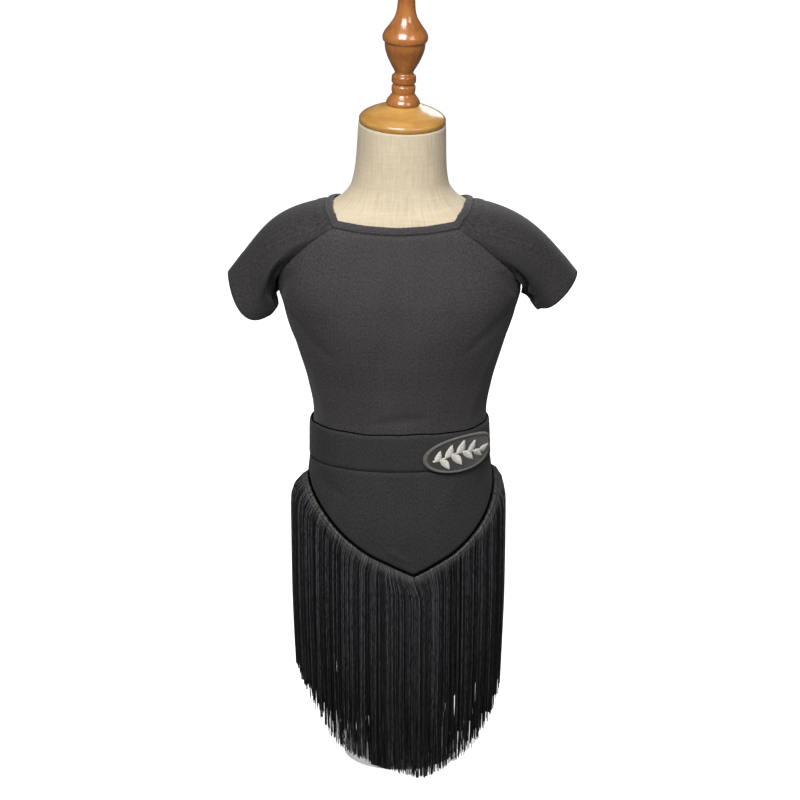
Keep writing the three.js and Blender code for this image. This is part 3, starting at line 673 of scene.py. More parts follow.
linen = linen_finish()
pale_wood = wood_finish(
    "pale_wood", (0.68, 0.38, 0.095, 1), (0.40, 0.17, 0.03, 1),
    roughness=0.34, coat=0.5, stretch=(60, 60, 240), rings=16,
)
brown_wood = wood_finish(
    "brown_wood", (0.52, 0.205, 0.050, 1), (0.26, 0.075, 0.018, 1),
    roughness=0.22, coat=0.8, stretch=(230, 230, 26), rings=11,
)
white_paint = paint_finish()
print("woods:", pale_wood.name, brown_wood.name)

# %% [markdown]
# ## The top's front and back
# Each panel runs from behind the waistband up to the neck binding, between the raglan seams.
# Its rows bend to follow the seams, and near every seam the cloth dips, which is what makes a
# seam show as a fine line. Drag lines fan out from the armpits, where a raglan top pulls.

# %% Make the bodice
BODY_ROUND = 0.105  # a mean radius, which turns an angle on the body into metres of cloth
SEAM_DIP = 0.0014
SEAM_DIP_WIDTH = 0.0012
PUCKER_LENGTH = 0.0085
PUCKER_DEPTH = 0.00022
PUCKER_REACH = 0.006
ARMPIT_ROW = 8 / 14  # the armpit's share of a panel's height
COLUMN_CROWD = 1.6  # over 1, this crowds the columns near a panel's sides
HIDDEN_INSET = 0.0004  # how far an inner face sinks towards the bust

# Places are metres of cloth from the middle of the panel, and height above the floor.
FRONT_CREASES = [
    ((-0.150, 0.520), (-0.088, 0.470), 0.0090, -0.0021),
    ((-0.156, 0.508), (-0.112, 0.452), 0.0070, 0.0016),
    ((-0.118, 0.560), (-0.140, 0.530), 0.0060, -0.0020),
    ((0.150, 0.522), (0.094, 0.478), 0.0085, -0.0019),
    ((0.156, 0.506), (0.120, 0.448), 0.0075, 0.0015),
    ((0.120, 0.558), (0.142, 0.532), 0.0060, -0.0020),
    ((-0.118, 0.455), (-0.106, 0.392), 0.0100, 0.0015),
    ((0.124, 0.450), (0.110, 0.396), 0.0090, 0.0014),
    ((-0.030, 0.399), (0.046, 0.405), 0.0060, -0.0013),
    ((0.010, 0.460), (0.028, 0.404), 0.0140, 0.0006),
]
BACK_CREASES = [
    ((-0.150, 0.525), (-0.086, 0.492), 0.0090, -0.0014),
    ((-0.156, 0.512), (-0.104, 0.462), 0.0080, 0.0011),
    ((0.148, 0.528), (0.092, 0.488), 0.0085, -0.0013),
    ((0.157, 0.510), (0.112, 0.456), 0.0080, 0.0011),
    ((-0.080, 0.412), (0.010, 0.424), 0.0085, -0.0016),
    ((-0.060, 0.428), (0.030, 0.440), 0.0090, 0.0013),
    ((0.020, 0.406), (0.094, 0.418), 0.0075, -0.0014),
    ((0.004, 0.560), (0.002, 0.470), 0.0160, -0.0010),
]


def body_wall(name, level, angle, lift, inner_lift, uv, material, closed=False):
    """A wall of cloth on the bust, from one lift above it to another."""
    outer, inner = (lifted_point(level, angle, each) for each in (lift, inner_lift))
    return cloth_wall(name, outer, inner, uv, closed, material)


def pucker(along, wander, distance):
    """Small gathers along a seam, which die away with the distance from it."""
    ripple = np.cos(math.tau * along / PUCKER_LENGTH + 2 * np.sin(along * wander))
    return PUCKER_DEPTH * ripple, np.exp(-((distance / PUCKER_REACH) ** 2))


def corner_level(face, side):
    turn = NECK_CORNER_DEG if face == "front" else 180 - NECK_CORNER_DEG
    return float(binding_level(np.array(float(side * turn))))


def raglan_share_turn(share):
    """How far round a raglan seam is, for a share of its height above the armpit."""
    return raglan_turn(mix(ARMPIT_Z, RAGLAN_ROWS[-1][0], share))


def top_panel(face, columns=108, rows=112):
    in_front = face == "front"
    middle, facing = (0, 1) if in_front else (180, -1)
    top_edge = float(binding_level(np.array(float(middle))))
    v = (1 - np.linspace(0, 1, rows))[:, None]
    u = np.linspace(-1, 1, columns)
    across = np.sign(u) * (1 - (1 - np.abs(u)) ** COLUMN_CROWD)
    share = np.clip((v - ARMPIT_ROW) / (1 - ARMPIT_ROW), 0, 1)
    low = v <= ARMPIT_ROW
    edge_turn = np.where(low, 90.0, raglan_share_turn(share))
    corner = np.where(across > 0, corner_level(face, facing), corner_level(face, -facing))
    below, above = mix(TOP_HEM_Z, ARMPIT_Z, v / ARMPIT_ROW), mix(ARMPIT_Z, corner, share)
    level = mix(mix(TOP_HEM_Z, top_edge, v), np.where(low, below, above), across**2)
    top_turn = middle + across * NECK_CORNER_DEG
    level = level + (binding_level(top_turn) - mix(top_edge, corner, across**2)) * v**8
    turn = middle + across * edge_turn
    from_seam = (1 - np.abs(across)) * np.radians(edge_turn) * BODY_ROUND
    from_neck = (1 - v) * (top_edge - TOP_HEM_Z)
    lift = TOP_LIFT + CLOTH + turned_edge(from_seam, SEAM_DIP, SEAM_DIP_WIDTH)
    lift = lift + turned_edge(from_neck, SEAM_DIP, SEAM_DIP_WIDTH)
    ripple, near = pucker(level, 130, from_seam)
    lift = lift + ripple * smoothstep(ARMPIT_ROW, ARMPIT_ROW + 0.06, v) * near
    cloth_x = across * np.radians(edge_turn) * BODY_ROUND
    above_band = smoothstep(WAIST_Z - 0.006, WAIST_Z + 0.012, level)
    folds = FRONT_CREASES if in_front else BACK_CREASES
    lift = lift + creases(cloth_x, level, folds) * above_band
    angle = top_angle(turn)
    uv = grid_of(angle * BODY_ROUND, level)
    return body_wall(f"top_{face}", level, angle, lift, TOP_LIFT - HIDDEN_INSET, uv, top_jersey)


top_front = top_panel("front")
top_back = top_panel("back")


# %% [markdown]
# ## Raglan sleeves
# A raglan sleeve starts at the neck and takes in the shoulder. It leaves its seam level with the
# body and then turns down along the arm, so each line from seam to cuff is one smooth curve with
# a direction at both ends. The deepest folds are at the armpit, where the cloth has nowhere to go.

# %% Make the sleeves
CORNER_SHARE = 0.13
CUFF_LEVEL = 0.527
CUFF_HIGH = 0.0325
CUFF_DEEP = 0.040
CUFF_BACK_DROP = 0.006
ARM_OUT = 0.615  # how the arm slopes: so much outward for each 0.789 down
ARM_DOWN = 0.789
CUFF_HANG = (0.3, -0.95)  # the way a cuff droops, outward and up
SLEEVE_FALL_TOP = -0.16
SLEEVE_FALL_UNDER = -0.35
SLEEVE_ROUND = 0.26  # about how far it is round a sleeve, for creases and the rib
SLEEVE_LONG = 0.085
HEM_DEPTH = 0.013

# Places are metres round from the shoulder's top towards the front, and metres down the sleeve.
RIGHT_SLEEVE_CREASES = [
    ((0.088, 0.004), (0.122, 0.046), 0.0068, -0.0062),
    ((0.074, 0.012), (0.098, 0.052), 0.0080, 0.0034),
    ((0.112, 0.020), (0.120, 0.076), 0.0060, 0.0030),
    ((0.056, 0.024), (0.070, 0.060), 0.0075, -0.0034),
    ((0.176, 0.006), (0.148, 0.050), 0.0068, -0.0055),
    ((0.190, 0.018), (0.166, 0.056), 0.0080, 0.0030),
]
LEFT_SLEEVE_CREASES = [
    ((0.094, 0.003), (0.118, 0.036), 0.0062, -0.0054),
    ((0.080, 0.012), (0.108, 0.042), 0.0075, 0.0030),
    ((0.104, 0.030), (0.092, 0.060), 0.0060, -0.0034),
    ((0.114, 0.034), (0.110, 0.078), 0.0055, 0.0026),
    ((0.178, 0.005), (0.150, 0.046), 0.0068, -0.0052),
    ((0.192, 0.018), (0.168, 0.054), 0.0080, 0.0028),
]
SLEEVES = {
    "sleeve_right": {
        "side": -1, "reach_out": 0.1575, "low": 0.031, "front_drop": 0.020, "fold": 0.002,
        "handle": 0.47, "creases": RIGHT_SLEEVE_CREASES,
    },
    "sleeve_left": {
        "side": 1, "reach_out": 0.163, "low": 0.025, "front_drop": 0.005, "fold": 0.003,
        "handle": 0.41, "creases": LEFT_SLEEVE_CREASES,
    },
}


def sleeve_seam(share, side):
    """Level and turn of the seam, from the shoulder's top (0) to the armpit (0.5) and back."""
    in_front = share <= 0.5
    half = np.where(in_front, share, 1 - share)
    under_binding = half <= CORNER_SHARE
    height = np.clip(1 - (half - CORNER_SHARE) / (0.5 - CORNER_SHARE), 0, 1)
    neck_turn = mix(90.0, NECK_CORNER_DEG, np.clip(half / CORNER_SHARE, 0, 1))
    turn = np.where(under_binding, neck_turn, raglan_share_turn(height))
    turn = side * np.where(in_front, turn, 180 - turn)
    corner = np.where(in_front, corner_level("front", side), corner_level("back", side))
    return np.where(under_binding, binding_level(turn), mix(ARMPIT_Z, corner, height)), turn


def cuff_point(share, row):
    side = row["side"]
    angle = share * math.tau
    across, forward = np.cos(angle), np.sin(angle)
    down, up = np.array([side * ARM_OUT, 0, -ARM_DOWN]), np.array([side * ARM_DOWN, 0, ARM_OUT])
    hang = np.array([side * CUFF_HANG[0], 0, CUFF_HANG[1]])
    drop = np.where(forward > 0, row["front_drop"], CUFF_BACK_DROP) * forward**2
    crumple = row["fold"] * np.maximum(0, -across) ** 3 * np.cos(angle * 7)
    middle = grid_of(side * row["reach_out"], -CUFF_DEEP * forward, CUFF_LEVEL)
    reach = np.where(across > 0, CUFF_HIGH, row["low"]) * across
    return middle + up * reach[:, None] + hang * drop[:, None] + down * crumple[:, None]


def sleeve(name, columns=132, rows=48):
    row = SLEEVES[name]
    side = row["side"]
    share = np.arange(columns) / columns
    v = np.linspace(0, 1, rows)[:, None]
    half = np.minimum(share, 1 - share)
    at_armpit = smoothstep(0.3, 0.44, half)
    level, turn = sleeve_seam(share, side)
    angle = top_angle(turn)
    middle_lift = TOP_LIFT + CLOTH / 2
    seam_lift = mix(middle_lift, middle_lift + CLOTH + 0.0004, at_armpit)
    start, end = lifted_point(level, angle, seam_lift), cuff_point(share, row)
    fall = mix(SLEEVE_FALL_TOP, SLEEVE_FALL_UNDER, smoothstep(0, 0.2, half))
    out = unit(grid_of(float(side), 0.0, fall))
    down = np.array([side * ARM_OUT, 0, -ARM_DOWN])
    handle = (np.linalg.norm(end - start, axis=-1) * row["handle"])[:, None]
    knots = [start, start + out * handle, end - down * handle, end]
    weights = [(1 - v) ** 3, 3 * (1 - v) ** 2 * v, 3 * (1 - v) * v**2, v**3]
    grid = sum(w[..., None] * k for w, k in zip(weights, knots))
    seam_normal = unit(lifted_point(level, angle, 0.001) - figure_point(level, angle))
    near_seam = (1 - at_armpit) * np.exp(-((v / 0.10) ** 2))
    normal = unit(mix(normals_of(grid) * side, seam_normal, near_seam[..., None]))
    cloth_x, cloth_y = share * SLEEVE_ROUND, v * SLEEVE_LONG
    hem_y = SLEEVE_LONG - HEM_DEPTH
    ripple, near = pucker(cloth_x, 90, cloth_y)
    lift = CLOTH / 2 + turned_edge(cloth_y, SEAM_DIP, SEAM_DIP_WIDTH) + ripple * near
    fade_hem = 1 - 0.55 * smoothstep(hem_y, SLEEVE_LONG, cloth_y)
    fold = creases(cloth_x, cloth_y, row["creases"]) * fade_hem * smoothstep(0, 0.006, cloth_y)
    lift = lift + turned_edge(np.abs(cloth_y - hem_y), 0.00035, 0.0011)
    hem = smoothstep(hem_y - 0.001, hem_y + 0.001, cloth_y)
    outer = grid + normal * (lift + fold)[..., None]
    inner = grid + normal * (fold - CLOTH / 2 + 0.0004 - 0.0004 * hem)[..., None]
    uv = grid_of(np.arange(columns + 1) / columns * SLEEVE_ROUND, -v * SLEEVE_LONG)
    sleeve_faces[name] = outer
    if side > 0:
        outer, inner, uv = outer[::-1], inner[::-1], uv[::-1]
    return cloth_wall(f"{name}_cloth", outer, inner, uv, True, shaded_sleeve_jersey)


sleeve_faces = {}  # kept for the hem stitches
sleeve_right = sleeve("sleeve_right")
sleeve_left = sleeve("sleeve_left")

# %% [markdown]
# ## Neck binding, waistband and yokes
# A binding is a strip folded over the raw edge, so its face is rounded. The waistband is cloth
# over flat elastic: a little gathered, with a fold at its free top edge and a groove where the
# yoke is sewn on. The yoke is plain cloth that ends in the V.

# %% Make the neck binding
TOPSTITCH_UP = 0.0024  # the row of stitches, above the binding's lower edge


def binding_face(turns, v):
    """The binding's outer face, from its upper edge (0) to its seam (1)."""
    v = v[:, None]
    level = mix(neckline_level(turns), binding_level(turns), v)
    crown = 1 - np.abs(2 * v - 1) ** 2.6
    roll = 0.0005 + BINDING_THICK * (0.55 + 0.45 * crown)
    seam = turned_edge((1 - v) * BINDING_WIDTH, 0.0016, 0.0011)
    stitch_line = turned_edge(np.abs((1 - v) * BINDING_WIDTH - TOPSTITCH_UP), 0.00045, 0.0008)
    gather = 0.00024 * np.sin(np.radians(turns) * 74) * (1 - v)
    lift = TOP_LIFT - 0.0003 + (roll + seam + stitch_line) + gather
    return level, lifted_point(level, top_angle(turns), lift)


def neck_binding(rows=11):
    corners = [NECK_CORNER_DEG, -NECK_CORNER_DEG, 180 - NECK_CORNER_DEG, NECK_CORNER_DEG - 180]
    turns = np.unique(np.round(np.concatenate([np.arange(-180, 180, 1.5), corners]), 3))
    v = np.linspace(0, 1, rows)
    level, outer = binding_face(turns, v)
    inner = lifted_point(level, top_angle(turns), TOP_LIFT - 0.0006)
    x = np.radians(np.append(turns, turns[0] + 360)) * BODY_ROUND
    uv = grid_of(x, (1 - v[:, None]) * BINDING_WIDTH)
    return cloth_wall("neck_binding_cloth", outer, inner, uv, True, top_jersey)


binding = neck_binding()

# %% Make the waistband
SHADOW_LINE_UP = 0.0016  # how far the painted shadow line reaches above the band's fold


def closed_turns(columns):
    return np.arange(columns) * 360 / columns - 180


def band_uv(columns, v):
    turns = np.arange(columns + 1) * 360 / columns
    return grid_of(np.radians(turns) * BODY_ROUND, BAND_HEIGHT * (1 - v))


def band_wobble(turns):
    return 0.0005 * np.sin(np.radians(turns) * 5 + 1) + 0.0003 * np.sin(np.radians(turns) * 13)


def band_lean(turns):
    return 0.0012 * np.maximum(0, -np.sin(skirt_angle(turns)))


def waistband(columns=264, rows=17):
    turns = closed_turns(columns)
    v = np.linspace(0, 1, rows)[:, None]
    level = WAIST_Z + band_wobble(turns) * (1 - v) - BAND_HEIGHT * v
    fold = turned_edge(v * BAND_HEIGHT, 0.0007, 0.0010)
    seam = turned_edge((1 - v) * BAND_HEIGHT, 0.0021, 0.0014)
    gather = 0.00016 * np.sin(np.radians(turns) * 61 + 2 * np.sin(np.radians(turns) * 7))
    belly = 0.0004 * np.sin(np.pi * v) + gather * np.sin(np.pi * v) ** 0.5
    lean = (1 - v) * band_lean(turns)
    lift = SKIRT_LIFT + BAND_THICK + (fold + seam) + belly + lean
    angle, inner_lift, uv = skirt_angle(turns), SKIRT_LIFT + lean, band_uv(columns, v)
    return body_wall("waistband_cloth", level, angle, lift, inner_lift, uv, skirt_jersey, True)


def waistband_shadow_line(columns=264, rows=5):
    """A painted shadow: a thin black strip along the top of the band, where the fold between the
    top and the band lies in shade.
    """
    turns = closed_turns(columns)
    v = np.linspace(0, 1, rows)[:, None]
    level = WAIST_Z + band_wobble(turns) + mix(SHADOW_LINE_UP, -0.0006, v)
    lift = SKIRT_LIFT + 0.0003 + 0.0005 * np.sin(np.pi * v) + band_lean(turns)
    # Its UV height is 0, so the cord finish paints the strip black.
    angle, uv = skirt_angle(turns), 0 * band_uv(columns, v)
    return body_wall("waistband_shadow_line", level, angle, lift, lift - 0.0008, uv, fringe_cord, True)


band = waistband()
band_shadow_line = waistband_shadow_line()

# %% Make the yokes
YOKE_CREASES = [
    ((-0.150, 0.338), (-0.090, 0.318), 0.0070, -0.0010),
    ((0.148, 0.340), (0.096, 0.322), 0.0065, -0.0009),
    ((-0.060, 0.340), (-0.020, 0.285), 0.0120, 0.0007),
    ((0.070, 0.338), (0.030, 0.290), 0.0110, 0.0006),
    ((-0.034, 0.262), (-0.008, 0.249), 0.0040, 0.0012),
    ((0.000, 0.330), (0.006, 0.262), 0.0130, -0.0005),
]


def yoke(face, columns=120, rows=44):
    v = np.linspace(0, 1, rows)[:, None]
    across = np.linspace(-1, 1, columns)
    turn = (0 if face == "front" else 180) + across * 90
    top = WAIST_Z - BAND_HEIGHT
    level = mix(top, v_level(turn), v)
    lift = SKIRT_LIFT + CLOTH + creases(across * math.pi / 2 * BODY_ROUND, level, YOKE_CREASES)
    lift = lift + turned_edge(v * (top - v_level(turn)), 0.0011, 0.0014)
    lift = lift + turned_edge((1 - np.abs(across)) * math.pi / 2 * BODY_ROUND, 0.0006, 0.0012)
    lift = lift + turned_edge((1 - v) * (top - v_level(turn)), 0.0005, 0.0012)
    angle = skirt_angle(turn)
    uv = grid_of(angle * BODY_ROUND, level)
    return body_wall(f"yoke_{face}_cloth", level, angle, lift, SKIRT_LIFT, uv, skirt_jersey)


yoke_front = yoke("front")
yoke_back = yoke("back")

# %% [markdown]
# ## The top's loose tail
# A dance top like this closes between the legs. Here it is unfastened, so its tail hangs behind
# the front fringe with a strap below it, and its edge shows through the gaps.

# %% Make the tail and its strap
TAIL_HANG_Z = 0.240
TAIL = {"from": -24, "to": 30, "top": 0.262, "low_left": 0.072, "low_right": 0.050}
STRAP = {"from": -22, "to": -10.5, "low_left": 0.015, "low_right": 0.010}
TAIL_LIFT = 0.0007
TAIL_CREASES = [
    ((-0.030, 0.230), (-0.018, 0.110), 0.0080, 0.0012),
    ((0.006, 0.215), (0.014, 0.090), 0.0100, -0.0010),
    ((0.034, 0.200), (0.030, 0.100), 0.0070, 0.0011),
]


def hanging_point(level, turn, lift):
    point = lifted_point(np.maximum(level, TAIL_HANG_Z), np.radians(turn), lift)
    point[..., 2] = level
    return point


def tail_hem(turn):
    share = (turn - TAIL["from"]) / (TAIL["to"] - TAIL["from"])
    return mix(TAIL["low_left"], TAIL["low_right"], share)


def hanging_panel(name, turn, top, hem, rows, fold_depth):
    v = np.linspace(0, 1, rows)[:, None]
    level = mix(top, hem, v)
    cloth_x = np.radians(turn) * BODY_ROUND
    free = smoothstep(0, 0.3, v)
    lift = TAIL_LIFT + CLOTH + fold_depth * free * creases(cloth_x, level, TAIL_CREASES)
    edge = np.minimum(turn - turn[0], turn[-1] - turn) * math.pi / 180 * BODY_ROUND
    lift = lift + 0.0006 * free * np.exp(-((edge / 0.004) ** 2))
    outer, inner = (hanging_point(level, turn, each) for each in (lift, lift - CLOTH))
    return cloth_wall(name, outer, inner, grid_of(cloth_x, level), False, top_jersey)


tail_turns = np.linspace(TAIL["from"], TAIL["to"], 44)
strap_turns = np.linspace(STRAP["from"], STRAP["to"], 14)
strap_hem = np.linspace(STRAP["low_left"], STRAP["low_right"], 14)
tail = hanging_panel("gusset_tail_cloth", tail_turns, TAIL["top"], tail_hem(tail_turns), 60, 1.0)
strap = hanging_panel(
    "gusset_strap_cloth", strap_turns, tail_hem(strap_turns) + 0.002, strap_hem, 16, 0.3
)

# %% [markdown]
# ## The bust, its turned woods and its stand
# The bust is a stack of rings. The cap, finial, post and plate are turned on a lathe, so each is
# an outline of a few radii and heights, carried smoothly round an axis. The neck was cut a little
# out of level, and the cap and finial lean with it.

# %% Stack rings into a solid
def stacked_solid(name, rings, v_places, round_length, material):
    """A solid through rings of points, closed by a fan at both ends."""
    rows, around = rings.shape[:2]
    points = np.concatenate([rings.reshape(-1, 3), rings[:1].mean(axis=1), rings[-1:].mean(axis=1)])
    u_places = np.arange(around + 1) / around * round_length
    faces = []
    corner_uv = []
    for j in range(rows - 1):
        for i in range(around):
            k = (i + 1) % around
            below, above = j * around, (j + 1) * around
            faces.append([below + i, below + k, above + k, above + i])
            low, high = v_places[j], v_places[j + 1]
            corner_uv += [(u_places[i], low), (u_places[i + 1], low)]
            corner_uv += [(u_places[i + 1], high), (u_places[i], high)]
    for row, pole, turned in ((0, rows * around, True), (rows - 1, rows * around + 1, False)):
        for i in range(around):
            k = (i + 1) % around
            a, b = row * around + i, row * around + k
            faces.append([pole, b, a] if turned else [pole, a, b])
            corner_uv += [(0.0, v_places[row])] * 3
    return mesh_piece(name, points, faces, corner_uv, material)


FOOT_ROUND = 0.006
NECK_RADIUS = 0.048  # sets how wide the linen's weave is
WOOD_RADIUS = 0.02


def linen_bust(around=144):
    angle = np.arange(around) * math.tau / around
    rings, heights = [], []
    for bend in np.linspace(math.pi / 2, 0, 5)[:-1]:
        sink = -FOOT_ROUND * (1 - math.cos(bend))
        ring = lifted_point(FORM_BOTTOM_Z + FOOT_ROUND, angle, sink)
        ring[:, 2] = FORM_BOTTOM_Z + FOOT_ROUND * (1 - math.sin(bend))
        rings.append(ring)
        heights.append(ring[0, 2])
    levels = np.concatenate([np.linspace(0.126, 0.60, 60), np.linspace(0.604, NECK_TOP_Z, 50)])
    rings += [figure_point(level, angle) for level in levels]
    heights += levels.tolist()
    return stacked_solid("linen_bust", np.array(rings), heights, math.tau * NECK_RADIUS, linen)


def turned_piece(name, profile, sides, material, place=None):
    """Carries an outline of (radius, height) rows smoothly round an axis."""
    radii, heights = np.array(profile, float).T
    run = np.concatenate([[0], np.cumsum(np.hypot(np.diff(radii), np.diff(heights)))])
    at = np.unique(np.concatenate([np.linspace(a, b, 5) for a, b in zip(run, run[1:])]))
    radius, height = smooth_column(run, radii)(at), smooth_column(run, heights)(at)
    angle = np.arange(sides) * math.tau / sides
    radius, height = radius[:, None], height[:, None]
    rings = grid_of(radius * np.cos(angle), radius * np.sin(angle), height)
    if place is not None:
        turn, move = place
        rings = rings @ turn.T + move
    return stacked_solid(name, rings, at.tolist(), math.tau * WOOD_RADIUS, material)


lean = Vector((0, 0, 1)).rotation_difference(Vector((NECK_LEAN, -NECK_TILT, 1)).normalized())
NECK_TURN = np.array(lean.to_matrix())
NECK_TOP = np.array([NECK_SHIFT, 0, NECK_TOP_Z])

CAP_OUTLINE = [
    (0.0435, 0.0004), (0.0454, 0.0020), (0.0459, 0.0046), (0.0447, 0.0072),
    (0.0395, 0.0112), (0.0300, 0.0156), (0.0220, 0.0186), (0.0186, 0.0204),
]
FINIAL_OUTLINE = [
    (0.0174, 0.0), (0.0180, 0.0016), (0.0168, 0.0050), (0.0142, 0.0086), (0.0120, 0.0126),
    (0.0126, 0.0150), (0.0126, 0.0194), (0.0110, 0.0218), (0.0129, 0.0246), (0.0129, 0.0300),
    (0.0098, 0.0340), (0.0140, 0.0426), (0.0182, 0.0516), (0.0210, 0.0607), (0.0216, 0.0670),
    (0.0236, 0.0695), (0.0239, 0.0730), (0.0220, 0.0780), (0.0171, 0.0850), (0.0118, 0.0940),
    (0.0098, 0.1020), (0.0090, 0.1120), (0.0082, 0.1260), (0.0068, 0.1370), (0.0036, 0.1420),
]
PLATE_EDGE = [
    (-0.0015, 0.0), (-0.0002, 0.0006), (0.0, 0.0016), (0.0, 0.0060), (-0.0005, 0.0074),
    (-0.0020, 0.0080),
]
PLATE_OUTLINE = [(PLATE_RADIUS + inset, height) for inset, height in PLATE_EDGE]
POST_OUTLINE = [(0.0125, 0.0083), (0.0125, 0.0300), (0.0125, 0.1000), (0.0125, 0.1197)]

bust_piece = linen_bust()
cap = turned_piece("cap_wood", CAP_OUTLINE, 96, pale_wood, (NECK_TURN, NECK_TOP))
finial_seat = NECK_TOP + NECK_TURN @ np.array([0, 0, CAP_OUTLINE[-1][1] + 0.0003])
finial = turned_piece("finial_wood", FINIAL_OUTLINE, 72, brown_wood, (NECK_TURN, finial_seat))
plate = turned_piece("plate_paint", PLATE_OUTLINE, 128, white_paint)
post = turned_piece("post_paint", POST_OUTLINE, 48, white_paint)

# %% [markdown]
# ## Threads that grow on a guide
# Fringe by the metre is hundreds of twisted cords looped over a braid, and a patch is covered by
# hundreds of threads laid side by side. Modelling each by hand is hopeless. So a guide sheet is
# made where the threads lie, and a node tree places points on it by its UV map, joins them into
# curves and gives them thickness. The guide itself is thrown away.

# %% Guide sheets
EDGE_SHARE = 0.01  # what is left free at both ends of a guide, so that no thread falls off it


def guide_mesh(name, patches, v=None):
    """Sheets of points for a tree to grow on, with rows that run down and columns to the right.
    Each sheet has its own share of the UV map's width."""
    points, faces, places = [], [], []
    for number, patch in enumerate(patches):
        rows, columns = patch.shape[:2]
        grid = sum(len(p) for p in points) + np.arange(rows * columns).reshape(rows, columns)
        corners = [grid[1:, :-1], grid[1:, 1:], grid[:-1, 1:], grid[:-1, :-1]]
        faces.append(np.stack(corners, axis=-1).reshape(-1, 4))
        u = (number + np.linspace(0, 1, columns)) / len(patches)
        down = np.linspace(0, 1, rows) if v is None else v
        places.append(np.stack(np.meshgrid(u, down), axis=-1).reshape(-1, 2))
        points.append(patch.reshape(-1, 3))
    faces = np.concatenate(faces)
    mesh = bpy.data.meshes.new(name)
    mesh.from_pydata(np.concatenate(points).tolist(), [], faces.tolist())
    corner_uv = np.concatenate(places)[faces.ravel()].astype(np.float32)
    mesh.uv_layers.new(name="UVMap").data.foreach_set("uv", corner_uv.ravel())
    return placed(name, mesh)


def ring_guide(name, rings, facing=None, columns=401):
    """A strip through closed rings of points, which runs once round and a little further."""
    share = (np.linspace(0, 1, columns) - EDGE_SHARE) / (1 - 2 * EDGE_SHARE)
    lines = []
    for ring in rings:
        closed = np.concatenate([ring, ring[:1]])
        run = np.concatenate([[0], np.cumsum(np.linalg.norm(np.diff(closed, axis=0), axis=1))])
        lines.append(grid_of(*(np.interp(share % 1, run / run[-1], axis) for axis in closed.T)))
    lines = np.array(lines)
    if facing is None:
        facing = lines[0] - lines[0, :-1].mean(axis=0)
    down, right = lines[-1] - lines[0], np.gradient(lines[0], axis=0)
    if np.einsum("ij,ij->", np.cross(down, right), np.broadcast_to(facing, right.shape)) < 0:
        lines = lines[::-1]
    return guide_mesh(name, [lines])


# %% Grow geometry from a guide
def new_tree(name, **labels):
    """A tree, and wires from its inputs by label. Each kind of input lists its labels."""
    tree = bpy.data.node_groups.new(name, "GeometryNodeTree")
    for kind, names in labels.items():
        for label in names.split(", "):
            tree.interface.new_socket(label, in_out="INPUT", socket_type="NodeSocket" + kind)
    tree.interface.new_socket("Result", in_out="OUTPUT", socket_type="NodeSocketGeometry")
    sockets = tree.nodes.new("NodeGroupInput").outputs
    return tree, {socket.name: Wire(tree, socket) for socket in sockets if socket.name}


def end_tree(geometry, material):
    whole = wire(geometry.tree, "GeometryNodeRealizeInstances", {"Geometry": geometry})
    inputs = {"Geometry": whole, "Material": material}
    painted = wire(geometry.tree, "GeometryNodeSetMaterial", inputs)
    painted.into(geometry.tree.nodes.new("NodeGroupOutput"), 0)


def grow(name, guide, tree, values):
    """Runs a tree on a guide and keeps the result as a plain mesh object."""
    modifier = guide.modifiers.new(tree.name, "NODES")
    modifier.node_group = tree
    for socket in tree.interface.items_tree:
        if socket.in_out == "INPUT" and socket.name in values:
            modifier[socket.identifier] = values[socket.name]
    graph = bpy.context.evaluated_depsgraph_get()
    graph.update()
    mesh = bpy.data.meshes.new_from_object(guide.evaluated_get(graph), depsgraph=graph)
    mesh.name = name
    guide_sheet = guide.data
    bpy.data.objects.remove(guide)
    bpy.data.meshes.remove(guide_sheet)
    print(name, sum(len(p.vertices) - 2 for p in mesh.polygons), "triangles")
    return placed(name, mesh)


# %% Small steps that both trees share
def random_value(number, low, high, seed, offset):
    inputs = {2: low, 3: high, 7: number, 8: seed + offset}
    return wire(number.tree, "FunctionNodeRandomValue", inputs, 1, data_type="FLOAT")


def joined(x, y, z=0.0):
    return wire(x.tree, "ShaderNodeCombineXYZ", {0: x, 1: y, 2: z})


def stored(geometry, name, value, kind="FLOAT", domain="POINT"):
    inputs = {"Geometry": geometry, "Name": name, "Value": value}
    settings = {"data_type": kind, "domain": domain}
    return wire(geometry.tree, "GeometryNodeStoreNamedAttribute", inputs, **settings)


def named(tree, name, kind="FLOAT"):
    return wire(tree, "GeometryNodeInputNamedAttribute", {"Name": name}, data_type=kind)


def place_on_guide(guide, place, height):
    """The point of the guide that has a place in its UV map, raised square to the guide."""
    tree = guide.tree
    found = []
    inputs = {"Mesh": guide, "Sample UV": place, "UV Map": named(tree, "UVMap", "FLOAT_VECTOR")}
    for kind in ("GeometryNodeInputPosition", "GeometryNodeInputNormal"):
        inputs["Value"] = wire(tree, kind)
        found.append(wire(tree, "GeometryNodeSampleUVSurface", inputs, data_type="FLOAT_VECTOR"))
    scale = {0: found[1], "Scale": height}
    shift = wire(tree, "ShaderNodeVectorMath", scale, operation="SCALE")
    return wire(tree, "ShaderNodeVectorMath", {0: found[0], 1: shift}, operation="ADD")


def count_along(tree, each):
    """For each point: its thread's number, its place in it, and its share of the way along."""
    index = wire(tree, "GeometryNodeInputIndex")
    thread = (index / each).math("FLOOR")
    row = index - thread * each
    return thread, row, row / (each - 1)


